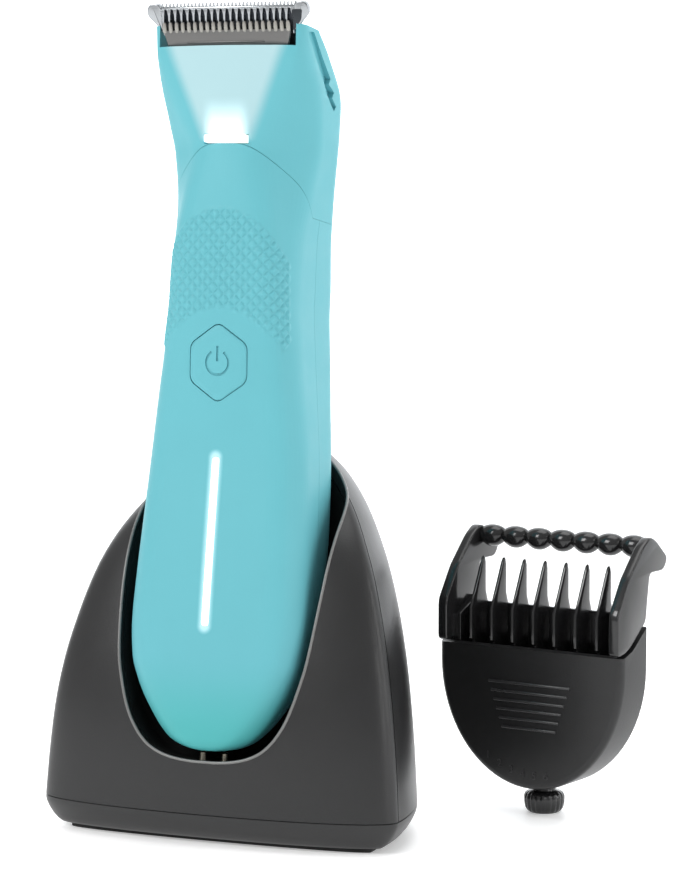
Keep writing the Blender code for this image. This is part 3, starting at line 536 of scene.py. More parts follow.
# ============================== materials =====================================
class Finish:
    """A material under construction: its shader, and short calls for the nodes that feed it."""

    def __init__(self, name, colour, roughness, metallic=0.0, **settings):
        self.made = bpy.data.materials.new(name)
        self.made.use_nodes = True
        self.tree = self.made.node_tree
        self.shader = self.tree.nodes["Principled BSDF"]
        self.shader.inputs["Base Color"].default_value = (*colour, 1.0)
        self.shader.inputs["Roughness"].default_value = roughness
        self.shader.inputs["Metallic"].default_value = metallic
        for socket, value in settings.items():
            self.shader.inputs[socket.replace("_", " ")].default_value = value
        self.place = self.add("ShaderNodeTexCoord").outputs["Object"]

    def add(self, kind, values=None, **settings):
        node = self.tree.nodes.new(kind)
        for key, value in settings.items():
            setattr(node, key, value)
        for key, value in (values or {}).items():
            if isinstance(value, bpy.types.NodeSocket):
                self.tree.links.new(value, node.inputs[key])
            else:
                node.inputs[key].default_value = value
        return node

    def feed(self, socket, value):
        self.tree.links.new(value, self.shader.inputs[socket])

    def trimmer_axes(self):
        """The place on the trimmer, in its own leaning frame, as separate X, Y and Z."""
        back = TRIMMER.inverted()
        values = {"Vector": self.place, "Location": back.translation, "Rotation": back.to_euler()}
        return self.add("ShaderNodeSeparateXYZ", {0: self.add("ShaderNodeMapping", values).outputs[0]}).outputs

    def maths(self, operation, first, second=0.0):
        return self.add("ShaderNodeMath", {0: first, 1: second}, operation=operation).outputs[0]

    def ranged(self, value, low, high, start=0.0, end=1.0):
        values = {"Value": value, "From Min": low, "From Max": high, "To Min": start, "To Max": end}
        return self.add("ShaderNodeMapRange", values, interpolation_type="SMOOTHSTEP").outputs[0]

    def noise(self, scale, detail=3.0, stretch=(1, 1, 1)):
        spot = self.add("ShaderNodeMapping", {"Vector": self.place, "Scale": stretch}).outputs[0]
        return self.add("ShaderNodeTexNoise", {"Vector": spot, "Scale": scale, "Detail": detail}).outputs[0]

    def mix(self, share, first, second):
        """A mix of two colours, which go to the node's inputs 6 and 7."""
        values = {0: share}
        for key, value in ((6, first), (7, second)):
            values[key] = value if isinstance(value, bpy.types.NodeSocket) else (*value, 1.0)
        return self.add("ShaderNodeMix", values, data_type="RGBA").outputs[2]

    def bump(self, height, distance):
        values = {"Height": height, "Distance": distance * MM, "Strength": 1.0}
        return self.add("ShaderNodeBump", values).outputs[0]

    def vary(self, colour, amount, scale, rough_low, rough_high, grain_scale, grain):
        """Slight cloudiness in the colour and gloss, and a fine moulded grain."""
        cloud = self.noise(scale)
        dark = tuple(c * (1 - amount) for c in colour)
        light = tuple(min(1.0, c * (1 + amount)) for c in colour)
        mixed = self.mix(cloud, dark, light)
        self.feed("Base Color", mixed)
        self.feed("Roughness", self.ranged(self.noise(scale * 3), 0.3, 0.7, rough_low, rough_high))
        self.feed("Normal", self.bump(self.noise(grain_scale, 2.0), grain))
        return mixed


TEAL = (0.118, 0.398, 0.450)
BLACK = (0.012, 0.012, 0.0125)
WHITE = (1.0, 1.0, 1.0)


def teal_base(name):
    """The housings' teal under construction, and the colour that its slight cloudiness gives."""
    made = Finish(name, TEAL, 0.46, Specular_IOR_Level=0.18)
    return made, made.vary(TEAL, 0.03, 60, 0.44, 0.50, 2600, 0.012)


def teal_finish(name):
    return teal_base(name)[0].made


def lit_cover_finish():
    """The front cover's teal, with a painted glow beside the light bar, and a deeper green at the foot that is
    partly painted shade from the stand's pocket.
    """
    made, teal = teal_base("teal_cover")
    parts = made.trimmer_axes()
    # partly painted shade: the base colour turns a deeper green towards the foot, where the handle sits in the
    # stand's pocket
    foot = made.ranged(parts[2], 0.004, 0.024, 0.75, 0.0)
    made.feed("Base Color", made.mix(foot, teal, (0.055, 0.36, 0.35)))
    # painted glow: emission on the teal around the light bar stands in for the bar's light spilling onto the cover
    across = made.maths("ABSOLUTE", parts[0])
    below = made.maths("SUBTRACT", BAR_LOW * MM, parts[2])
    above = made.maths("SUBTRACT", parts[2], BAR_HIGH * MM)
    beyond = made.maths("MAXIMUM", made.maths("MAXIMUM", below, above), 0.0)
    away = made.maths("SQRT", made.maths("ADD", made.maths("MULTIPLY", across, across),
                                         made.maths("MULTIPLY", beyond, beyond)))
    halo = made.maths("MULTIPLY", made.ranged(away, 0.0005, 0.0020, 1.0, 0.0),
                      made.ranged(parts[1], -0.010, -0.014))
    made.feed("Emission Color", made.mix(halo, (0.75, 0.95, 1.0), WHITE))
    made.feed("Emission Strength", made.maths("MULTIPLY", halo, 0.45))
    return made.made


def lit_head_finish():
    """The teal of the head, with a painted wash of the work light up its front facet: a lighter base colour and
    emission.
    """
    made, teal = teal_base("teal_head")
    parts = made.trimmer_axes()
    # painted light: the facet mask lightens the base colour and the core adds emission just above the lens,
    # standing in for the work light's wash
    across = made.maths("ABSOLUTE", parts[0])
    rise = made.maths("SUBTRACT", parts[2], 0.1344)
    edge = made.maths("SUBTRACT", across, made.maths("MULTIPLY", rise, 0.40))
    facet = made.ranged(edge, 0.0040, 0.0076, 1.0, 0.0)
    facet = made.maths("MULTIPLY", facet, made.ranged(parts[2], 0.1325, 0.1335))
    facet = made.maths("MULTIPLY", facet, made.ranged(parts[1], -0.0175, -0.0195))
    core = made.ranged(rise, 0.0, 0.0082, 1.0, 0.0)
    core = made.maths("MULTIPLY", core, made.ranged(across, 0.0028, 0.0060, 1.0, 0.0))
    core = made.maths("MULTIPLY", core, facet)
    made.feed("Base Color", made.mix(facet, teal, (0.33, 0.50, 0.53)))
    made.feed("Emission Color", made.mix(core, (0.60, 0.86, 0.92), WHITE))
    glow = made.maths("MULTIPLY", facet, 0.05)
    made.feed("Emission Strength", made.maths("ADD", glow, made.maths("MULTIPLY", core, 0.75)))
    return made.made


def satin_black(name, base=BLACK, low=0.34, high=0.44, grain=0.018, shine=0.5):
    made = Finish(name, base, 0.4, Specular_IOR_Level=shine)
    made.vary(base, 0.10, 45, low, high, 2400, grain)
    return made.made


def gloss_black(name):
    made = Finish(name, BLACK, 0.14, Specular_IOR_Level=0.5)
    made.vary(BLACK, 0.10, 60, 0.13, 0.22, 1400, 0.006)
    return made.made


def brushed(name, colour, low, high, stretch=(40, 400, 400)):
    """Metal with fine lines along one axis."""
    made = Finish(name, colour, 0.3, 1.0)
    lines = made.noise(8.0, 4.0, stretch)
    dark, light = tuple(c * 0.86 for c in colour), tuple(min(1, c * 1.1) for c in colour)
    made.feed("Base Color", made.mix(lines, dark, light))
    made.feed("Roughness", made.ranged(lines, 0.3, 0.7, low, high))
    made.feed("Normal", made.bump(lines, 0.01))
    return made.made


def moulded(name, colour, rough=0.45, metallic=0.0):
    made = Finish(name, colour, rough, metallic)
    made.vary(colour, 0.08, 90, max(0.1, rough - 0.06), rough + 0.06, 1800, 0.01)
    return made.made


def board_finish():
    """A green circuit board with lighter copper tracks under its mask."""
    green, track = (0.015, 0.14, 0.05), (0.05, 0.30, 0.12)
    made = Finish("circuit_board_green", green, 0.3)
    waves = made.add("ShaderNodeTexVoronoi", {"Vector": made.place, "Scale": 420.0}, distance="CHEBYCHEV")
    made.feed("Base Color", made.mix(made.ranged(waves.outputs["Distance"], 0.35, 0.42), green, track))
    made.feed("Normal", made.bump(waves.outputs["Distance"], 0.02))
    return made.made


def light_finish(name, strength):
    """A lit diffuser, a little dimmer in fine clouds."""
    made = Finish(name, (0.95, 0.97, 1.0), 0.3)
    made.feed("Emission Color", made.mix(made.noise(200), (0.94, 0.98, 1.0), WHITE))
    made.shader.inputs["Emission Strength"].default_value = strength
    made.feed("Roughness", made.ranged(made.noise(500), 0.3, 0.7, 0.25, 0.4))
    return made.made


# ============================== the trimmer ===================================
def seam_zone(name, above):
    """The space on one side of the head seam, as a cutter."""
    shift = -GAP / 2 if above else GAP / 2
    bend_y = SEAM_FRONT + SEAM_TOP - SEAM_LOW
    low = SEAM_LOW + 0.2 * shift
    line = [(-60, SEAM_TOP + shift), (SEAM_FRONT, SEAM_TOP + shift), (bend_y, low), (60, low)]
    far = 220 if above else 60
    return prism(name, line + [(60, far), (-60, far)], -40, 40, (1, 2), TRIMMER)


def grip_height(across, height):
    """How far the diamond grip stands out at a place on the front of the handle."""
    first = (across / DIAMOND_WIDE + height / DIAMOND_HIGH) % 1.0
    second = (across / DIAMOND_WIDE - height / DIAMOND_HIGH) % 1.0
    edge = max(abs(2 * first - 1), abs(2 * second - 1))
    stud = min(1.0, max(0.0, (0.90 - edge) * 2.8))
    side = abs(across)
    top = GRIP_TOP - GRIP_TOP_BOW * side ** 2
    low = max(GRIP_LOW - GRIP_LOW_BOW * side ** 2, GRIP_CORNER + 1.57 * (side - 15.0))
    room = min(top - height, height - low, GRIP_HALF - side)
    return DIAMOND_RISE * stud * min(1.0, max(0.0, room / 0.7))


def inner_maker(levels, path_at, closed_foot=True):
    """A function that gives the inner surface's point for a row and column of the outer grid.

    Over a closed foot the inner surface starts a wall's thickness higher and
    comes level with the outer one 8 mm up.
    """
    paths = {}

    def inner(row, column):
        level = levels[row]
        if row not in paths:
            paths[row] = path_at(level)
        lift = WALL * max(0.0, 1 - (level - levels[0]) / 8.0) if closed_foot else 0.0
        return (*paths[row][column], level + lift)

    return inner


def foot_levels():
    """Levels for the rounded foot of the handle, closest together at its tip."""
    return BODY[0][0] + 5.6 * np.linspace(0, 1, 16) ** 2


def lens_notch():
    """The space that the work light takes out of the cover and the head, as a cutter."""
    return block("cut_lens", *LENS_NOTCH, TRIMMER)


def contact_bores(name, radius, low, high):
    """A bore for each charge contact along the handle, as cutters."""
    return [rod(name, radius, (x, CONTACT_Y, low), (x, CONTACT_Y, high), TRIMMER)
            for x in (-CONTACT_X, CONTACT_X)]


def make_front_cover(teal):
    fine = np.arange(86.0, 120.2, 0.27)
    levels = np.concatenate([foot_levels(), np.arange(9.0, 85.6, 1.4), fine, np.linspace(121.0, 136.0, 14)])
    outer = np.zeros((len(levels), FRONT_COLUMNS, 3))
    for i, level in enumerate(levels):
        path = resampled(body_paths(level)[0], FRONT_COLUMNS)
        steps = np.linalg.norm(np.diff(path, axis=0), axis=1)
        across = np.concatenate([[0], np.cumsum(steps)]) - steps.sum() / 2
        tangent = np.gradient(path, axis=0)
        tangent /= np.linalg.norm(tangent, axis=1, keepdims=True)
        rise = np.array([grip_height(u, level) for u in across])
        outer[i, :, 0] = path[:, 0] + tangent[:, 1] * rise
        outer[i, :, 1] = path[:, 1] - tangent[:, 0] * rise
        outer[i, :, 2] = level
    inner = inner_maker(levels, lambda level: resampled(body_paths(level, WALL)[0], FRONT_COLUMNS))
    cover = shell("front_cover_skin", outer, inner, 6, TRIMMER, cap_low=True)
    carve(cover, [seam_zone("cut_seam", True),
                  well("cut_button", button_outline, BUTTON_Z, 0.14, 6.0),
                  well("cut_bar", bar_outline, BAR_MIDDLE, 0.12, 6.0), lens_notch()])
    return finish_piece(cover, "trimmer_handle", "front_cover", teal)


def make_rear_housing(teal):
    levels = np.concatenate([foot_levels(), np.arange(9.0, 126.0, 1.5), [126.0]])
    outer = np.array([at_height(resampled(body_paths(z)[1], REAR_COLUMNS), z) for z in levels])
    inner = inner_maker(levels, lambda level: resampled(body_paths(level, WALL)[1], REAR_COLUMNS))
    housing = shell("rear_housing_skin", outer, inner, 3, TRIMMER, cap_low=True)
    cutters = [seam_zone("cut_seam", True)]
    for height in SCREW_HEIGHTS:
        depth = max(body_paths(height)[1][:, 1])
        cutters.append(rod("cut_screw_head", 2.5, (0, depth - 1.3, height), (0, depth + 6, height), TRIMMER))
        cutters.append(rod("cut_screw_shank", 1.5, (0, 2, height), (0, depth + 5, height), TRIMMER))
    carve(housing, cutters + contact_bores("cut_contact", 1.4, 0, 7))
    return finish_piece(housing, "trimmer_handle", "rear_housing", teal)


def ear_groove(side):
    """The stepped groove beside the back edge of an ear, as a cutter."""
    line = [(-19.6, 156.0), (-16.4, 156.6), (-7.4, 148.0), (-8.4, 146.6), (-5.4, 145.4), (-6.2, 144.0),
            (-3.6, 142.6), (-4.4, 141.4), (-6.6, 142.6), (-9.6, 144.6), (-12.0, 147.6)]
    low, high = sorted((side * 17.0, side * 30.0))
    return prism("cut_ear_groove", line, low, high, (1, 2), TRIMMER)


def head_ring(level, inset=0.0):
    """The whole section at a level, evenly spaced."""
    front, rear = body_paths(level, inset)
    return resampled(np.concatenate([front, rear, front[:1]]), HEAD_COLUMNS + 1)[:-1]


def make_head(finish):
    levels = np.concatenate([np.arange(115.0, 150.0, 0.7), np.linspace(150.0, 157.4, 16)])
    outer = np.array([at_height(head_ring(level), level) for level in levels])
    inner = inner_maker(levels, lambda level: head_ring(level, WALL), closed_foot=False)
    head = shell("head_housing_skin", outer, inner, 5, TRIMMER, closed=True)
    carve(head, [seam_zone("cut_seam", False),
                 block("cut_top", (-15.9, -40, HEAD_EDGE), (15.9, 40, 175), TRIMMER),
                 prism("cut_room", BLADE_ROOM, -14.95, 14.95, (1, 2), TRIMMER),
                 lens_notch(), ear_groove(-1), ear_groove(1)])
    return finish_piece(head, "cutting_head", "head_housing", finish)


def button_outline(grow):
    half, corner, tip = (value + grow for value in BUTTON_HALF)
    corners = [(0, -tip), (half, -corner), (half, corner), (0, tip), (-half, corner), (-half, -corner)]
    return rounded_loop(corners, 1.5)


def oblong(half, high):
    return [(-half, -high), (half, -high), (half, high), (-half, high)]


def bar_outline(grow):
    return rounded_loop(oblong(BAR_WIDTH / 2 + grow, (BAR_HIGH - BAR_LOW) / 2 + grow), 0.8, share=0.49)


def lens_outline(grow):
    return rounded_loop(oblong(4.9 + grow, 0.8 + grow), 0.3)


def on_front(outline, middle, sink):
    """An outline laid on the handle's front surface, sunk below it by a depth."""
    return np.array([(x, -front_depth(middle + z) + 0.0035 * x * x + sink, middle + z) for x, z in outline])


def well(name, outline_of, middle, grow, depth):
    """A cutter that sinks a chamfered hole into the front cover."""
    return loft(name, [on_front(outline_of(grow + wider), middle, sink)
                       for wider, sink in ((1.6, -1.6), (0.25, 0.0), (0.0, 0.3), (0.0, depth))], TRIMMER)


def inlay(name, outline_of, middle, top, depth, dome, insets=(0.0, 0.12, 0.4)):
    """A piece that fills a well: straight sides, a rounded edge and a gently domed face."""
    rows = [on_front(outline_of(-inset), middle, sink)
            for inset, sink in zip((0.0, *insets), (depth, top + 0.4, top + 0.14, top))]
    ring = outline_of(-insets[2])
    for share in (0.85, 0.65, 0.45, 0.25, 0.08):
        rows.append(on_front(ring * share, middle, top - dome * (1 - share ** 2)))
    return loft(name, rows, TRIMMER)


def power_symbol():
    """A broken ring and a bar, the usual generic mark for power, as one cutter."""
    radius, half_width, break_half = 2.6, 0.27, math.radians(32)
    angles = np.linspace(math.pi / 2 + break_half, 2.5 * math.pi - break_half, 40)
    sides = ((radius + half_width, angles), (radius - half_width, angles[::-1]))
    ring = [(reach * math.cos(angle), reach * math.sin(angle)) for reach, row in sides for angle in row]
    bar = [(-half_width, 0.3), (half_width, 0.3), (half_width, 3.5), (-half_width, 3.5)]
    return [loft("cut_symbol", [on_front(outline, BUTTON_Z, sink) for sink in (-1.2, 0.16)], TRIMMER)
            for outline in (ring, bar)]


def make_front_details(teal):
    button = inlay("power_button_cap", button_outline, BUTTON_Z, 0.0, 1.7, 0.18)
    carve(button, power_symbol(), angle=40.0)
    finish_piece(button, "button_cap", "power_button", teal)
    bar = inlay("light_bar_lens", bar_outline, BAR_MIDDLE, 0.05, 2.4, 0.05, (0.0, 0.08, 0.3))
    finish_piece(bar, "trimmer_handle", "light_bar", light_finish("light_bar_glow", 0.9))
    lens = inlay("work_light_lens", lens_outline, LENS_Z, -0.1, 2.0, 0.1, (0.0, 0.05, 0.15))
    finish_piece(lens, "trimmer_handle", "led_lens", light_finish("work_light_glow", 1.0))


# ============================== the blades ====================================
def tooth_centres(count, pitch, middle=0.0):
    return [middle + (index - (count - 1) / 2) * pitch for index in range(count)]


def make_moving_blade():
    """The front plate, with a ridge line and a row of rounded teeth."""
    steel = brushed("cutter_plate_steel", (0.155, 0.153, 0.15), 0.30, 0.42)
    outline = [(-13.5, -2.6), (13.5, -2.6), (13.9, 0.0), (14.7, 3.0), (14.7, 3.6)]
    centres = tooth_centres(TOOTH_COUNT, TOOTH_PITCH, TOOTH_MIDDLE)
    tooth = ((0.46, 3.6), (0.42, 4.9), (0.2, 5.35), (-0.2, 5.35), (-0.42, 4.9), (-0.46, 3.6))
    for centre in reversed(centres):
        outline += [(centre + x, z) for x, z in tooth]
    outline += [(-14.7, 3.6), (-14.7, 3.0), (-13.9, 0.0)]
    plate = face_slab("moving_blade_plate", outline, 0.8, 0.12, BLADES, 0.4)
    ridge = rod("plate_ridge", 0.16, (-9.4, -0.02, 1.0), (8.6, -0.02, 1.0), BLADES)
    finish_piece(joined("moving_blade_steel", [plate, ridge]), "moving_cutter", "moving_blade", steel)
    caps = []
    angle = full_turn(12)
    sections = ((3.1, 0.30, 0.02), (3.3, 0.44, 0.16), (4.0, 0.47, 0.22), (4.9, 0.42, 0.18), (5.3, 0.26, 0.06))
    for centre in centres:
        rings = []
        for height, half, depth in sections:
            ring = np.column_stack([centre + half * np.cos(angle), 0.05 + (depth + 0.1) * np.sin(angle)])
            rings.append(at_height(ring, height))
        caps.append(loft("tooth", rings, BLADES))
    ivory = moulded("cutter_tooth_ivory", (0.30, 0.29, 0.265), 0.3, 0.35)
    finish_piece(joined("moving_blade_teeth", caps), "moving_cutter", (), ivory)


def make_fixed_blade():
    """The comb blade behind: slanted webs, a bright ridge, a fringe of fine teeth and two end lobes."""
    steel = brushed("comb_blade_steel", (0.36, 0.375, 0.39), 0.16, 0.28)
    pieces = []
    web = ((-0.22, 2.4), (0.16, 2.4), (0.2, 5.0), (0.34, 6.6),
           (0.62, 8.0), (-0.42, 8.0), (-0.16, 6.6), (-0.24, 5.0))
    for centre in tooth_centres(TOOTH_COUNT + 1, TOOTH_PITCH, TOOTH_MIDDLE):
        pieces.append(face_slab("web", [(centre + x, z) for x, z in web], 1.3, 0.1, BLADES, 1.75, 2))
    pieces.append(rod("ridge", 0.42, (-15.9, 1.75, 8.1), (15.9, 1.75, 8.1), BLADES))
    for centre in tooth_centres(FRINGE_COUNT, FRINGE_PITCH):
        rings = []
        for share, radius in ((0.0, 0.30), (0.5, 0.25), (0.85, 0.19), (1.0, 0.10)):
            ring = circle(radius, 10, (centre + 0.35 * share, 1.9 - 0.2 * share))
            rings.append(at_height(ring, 8.1 + 1.15 * share))
        pieces.append(loft("fringe", rings, BLADES))
    lobe = [(15.3, 2.8), (17.2, 5.0), (18.8, 6.6), (18.8, 8.3), (17.9, 9.3), (16.0, 9.3), (15.5, 8.4)]
    right = rounded_loop(lobe, 0.9)
    left = right * (-1, 1)
    for outline in (right, left[::-1]):
        pieces.append(face_slab("lobe", outline, 1.5, 0.3, BLADES, 1.8))
    cap_outline = rounded_loop([(14.8, 2.9), (17.0, 5.2), (17.4, 7.6), (15.0, 7.6)], 0.5)
    cap = face_slab("end_cap", cap_outline, 0.24, 0.06, BLADES, 1.04)
    gunmetal = brushed("end_cap_gunmetal", (0.045, 0.05, 0.055), 0.25, 0.4)
    finish_piece(cap, "cutting_head", (), gunmetal)
    finish_piece(joined("fixed_blade_steel", pieces), "cutting_head", "fixed_blade", steel)
    # painted shade: a dark sheet behind the webs shows the shade seen through the gaps between them
    back_outline = [(-15.2, 2.4), (15.2, 2.4), (15.6, 7.9), (-15.6, 7.9)]
    back = face_slab("backing", back_outline, 0.3, 0.05, BLADES, 2.35)
    shadow = brushed("blade_shadow_steel", (0.055, 0.06, 0.07), 0.35, 0.5)
    finish_piece(back, "cutting_head", (), shadow)


# ============================== the stand =====================================
def pocket(name, grow):
    """The pocket that the mouth and the liner follow, as a solid."""
    levels = (0.0, 0.1, 0.2, 0.45, 0.8, 1.3, 2.0, 3.0, 4.0, 5.5, 7, 9, 11, 13.5, 16, 19, 22, 26, 30,
              35, 40, 46, 52, 59, 66, 83, 100)
    rings = []
    for level in levels:
        lowered = level - grow * max(0.0, 1 - level / 12.0)
        rings.append(at_height(pocket_ring(level, grow), lowered))
    return loft(name, rings, TRIMMER)


def dome_levels():
    """Levels of the stand's shells, closer together where the dome rounds over."""
    return np.concatenate([[SHELL_FOOT], np.arange(9.5, 62.0, 2.2),
                           np.linspace(62.3, 80.0, 16), np.linspace(80.6, 85.3, 12)])


def under_dome(level, thickness):
    """A level lowered by up to a wall's thickness towards the top of the dome."""
    return level - thickness * max(0.0, (level - DOME_START) / DOME_RISE)


def make_stand_shells(black):
    levels = dome_levels()
    for which, name in ((0, "stand_front_shell"), (1, "stand_rear_shell")):
        outer = np.array([at_height(stand_arcs(z)[which], z) for z in levels])

        def inner(row, column, which=which):
            level = levels[row]
            return (*stand_arcs(level, STAND_WALL)[which][column], under_dome(level, STAND_WALL))

        piece = shell(name + "_skin", outer, inner, 4, WORLD, cap_high=True)
        cutters = [pocket("cut_mouth", 0.0)]
        if which:
            spot, facing = inlet_frame()
            cutters.append(rod("cut_inlet", 4.3, spot - facing * 6, spot + facing * 6, WORLD, 40))
        carve(piece, cutters, angle=38.0)
        finish_piece(piece, "charging_stand", name, black)


def inlet_frame():
    """Centre of the inlet on the stand's outer wall, and the way it faces."""
    half, widest, before, behind = table_row(STAND, INLET_HEIGHT)
    angle = math.radians(INLET_ANGLE)
    spot = Vector((half * math.cos(angle), widest + behind * math.sin(angle), INLET_HEIGHT))
    facing = Vector((math.cos(angle) / half, math.sin(angle) / behind, 0.0)).normalized()
    return spot, facing


def crossing(point_at, low, high):
    """Where a path of points in the trimmer's frame passes through the stand's surface, by halving."""
    def inside(share):
        world = TRIMMER @ (Vector(point_at(share)) * MM)
        return inside_stand(world / MM)

    start = inside(low)
    for _ in range(40):
        middle = (low + high) / 2
        if inside(middle) == start:
            low = middle
        else:
            high = middle
    return point_at((low + high) / 2)


def mouth_line():
    """The edge where the pocket breaks through the stand, from the middle of its foot up the right."""
    points = []
    floor, foot_half = POCKET[0][0], POCKET[0][1]
    for x in np.linspace(0, foot_half, 5)[:-1]:
        points.append(crossing(lambda y, x=x: (x, y, floor), POCKET_FRONT, -10.0))
    last = floor
    for height in np.concatenate([floor + 6 * np.linspace(0, 1, 28) ** 2, np.arange(7.0, 90, 1.5)]):
        half, back, depth = table_row(POCKET, height)
        spot = crossing(lambda y, half=half, height=height: (half, y, height), POCKET_FRONT, back - depth)
        if spot[1] > back - depth - 0.05:
            break
        points.append(spot)
        last = height
    for angle in np.radians(np.linspace(2, 90, 32)):
        def bow_point(height, angle=angle):
            half, back, depth = table_row(POCKET, height)
            return (half * math.cos(angle), back - depth + depth * math.sin(angle), height)
        points.append(crossing(bow_point, last - 4, 100.0))
    return points


def make_mouth_rim():
    right = mouth_line()
    loop = right + [(-x, y, z) for x, y, z in reversed(right[1:-1])]
    rim = tube("cradle_mouth_rim", loop, 0.33, TRIMMER, closed=True)
    # partly painted highlight: the rim wire is a lighter grey than the stand's black, standing in for the light
    # line along the mouth's edge; its low roughness also catches real highlights
    finish = satin_black("stand_rim_painted_highlight", (0.15, 0.15, 0.147), 0.2, 0.28, 0.004)
    finish_piece(rim, "charging_stand", (), finish)


def stand_ring(level, inset):
    """The stand's whole section at a level."""
    return np.concatenate([arc[:-1] for arc in stand_arcs(level, inset)])


def make_liner(black):
    inset = STAND_WALL + GAP
    rings = [at_height(stand_ring(level, inset), under_dome(level, inset))
             for level in np.concatenate([[11.3], dome_levels()[5:]])]
    liner = loft("cradle_liner_skin", rings)
    carve(liner, [pocket("cut_outside", LINER)], "INTERSECT")
    carve(liner, [pocket("cut_inside", 0.0)] + contact_bores("cut_pin", 1.3, -8, 3), angle=38.0)
    finish_piece(liner, "charging_stand", "cradle_liner", black)


def make_base(black, rubber):
    def footprint(name, edge, inward=0.0):
        return loft(name, [at_height(stand_ring(STAND[0][0], inward + inset), z) for z, inset in edge])

    plate = footprint("stand_base_skin", BASE_EDGE)
    holes = []
    for x in (-15, 15):
        for y in (-4, 15):
            holes.append(rod("cut_head", 3.1, (x, y, -2), (x, y, 3.0)))
            holes.append(rod("cut_shank", 1.7, (x, y, -2), (x, y, 9.0)))
    carve(plate, holes)
    finish_piece(plate, "charging_stand", "stand_base_plate", black)
    sole_edge = ((0.0, 0.15), (0.12, 0.0), (SOLE_TOP - 0.1, 0.0), (SOLE_TOP, 0.1))
    sole = footprint("base_sole_pad", sole_edge, SOLE_INSET)
    finish_piece(sole, "charging_stand", "base_sole", rubber)


# ============================== the comb ======================================
def shield_outline(inset, top):
    """The comb housing's outline: straight sides and a round foot."""
    half, drop = COMB_HALF - inset, SHIELD_ROUND - SHIELD_LOW - inset
    angle = half_turn(41)
    bow = np.column_stack([half * np.cos(angle), SHIELD_ROUND - drop * np.sin(angle)])
    return np.array([(half, top)] + list(map(tuple, bow)) + [(-half, top)])


def make_comb_housing(black):
    edges = ((SHIELD_FRONT, 1.5), (SHIELD_FRONT + 0.12, 0.9), (SHIELD_FRONT + 0.45, 0.4),
             (SHIELD_FRONT + 1.0, 0.1), (SHIELD_FRONT + 1.6, 0.0), (SHIELD_BACK - 0.3, 0.0), (SHIELD_BACK, 0.25))
    rings = []
    for y, inset in edges:
        outline = shield_outline(inset, SHIELD_REAR_TOP)
        rings.append(np.column_stack([outline[:, 0], np.full(len(outline), y), outline[:, 1]]))
    housing = loft("comb_housing_skin", rings, COMB)
    hollow = prism("cut_hollow", shield_outline(COMB_WALL, 60.0), SHIELD_FRONT + COMB_WALL, 20, (0, 2), COMB)
    slope = prism("cut_slope", [(-20, SHIELD_TOP), (SHIELD_FRONT + 1, SHIELD_TOP), (-2.4, SHIELD_TOP + 1.2),
                                (SHIELD_BACK, SHIELD_REAR_TOP), (20, 60), (-20, 60)], -30, 30, (1, 2), COMB)
    bore = rod("cut_bore", 3.0, (0, 0, 2), (0, 0, 12), COMB)
    carve(housing, [hollow, slope, bore])
    finish_piece(housing, "guide_comb", "comb_housing", black)
    cover_outline = shield_outline(COMB_WALL + GAP, 40.0)
    cover = face_slab("comb_back_skin", cover_outline, 1.4, 0.25, COMB, SHIELD_BACK - 0.9)
    carve(cover, [rod("cut_notch", 4.0, (0, 0, 5), (0, 0, 10.4), COMB)])
    finish_piece(cover, "guide_comb", "comb_back_cover", black)
    lines, y = [], SHIELD_FRONT + 0.05
    for index in range(6):
        half, height = 10.5 - 0.7 * index, 29.9 - 2.02 * index
        lines.append(rod("grip_line", 0.34, (-half, y, height), (half, y, height), COMB, 14))
    line_black = satin_black("comb_line_black", (0.022, 0.022, 0.023), 0.26, 0.36)
    finish_piece(joined("comb_grip_lines", lines), "guide_comb", (), line_black)
    make_numerals()


def make_numerals():
    """Generic length numerals, raised along the foot of the shield."""
    finish = satin_black("comb_numeral_black", (0.035, 0.035, 0.036), 0.3, 0.4, 0.004)
    for index, digit in enumerate("123456"):
        x = -10.5 + 3.0 * index
        z = 9.3 + 0.05 * (x - 1.5) ** 2 * 0.5
        text = bpy.data.curves.new("numeral_" + digit, "FONT")
        text.body = digit
        text.size = 2.5 * MM
        text.extrude = 0.12 * MM
        text.align_x = text.align_y = "CENTER"
        place = COMB @ moved((x, SHIELD_FRONT - 0.02, z)) @ turned_about("X", 90)
        made = placed("comb_numeral_" + digit, text, place)
        finish_piece(made, "guide_comb", (), finish)


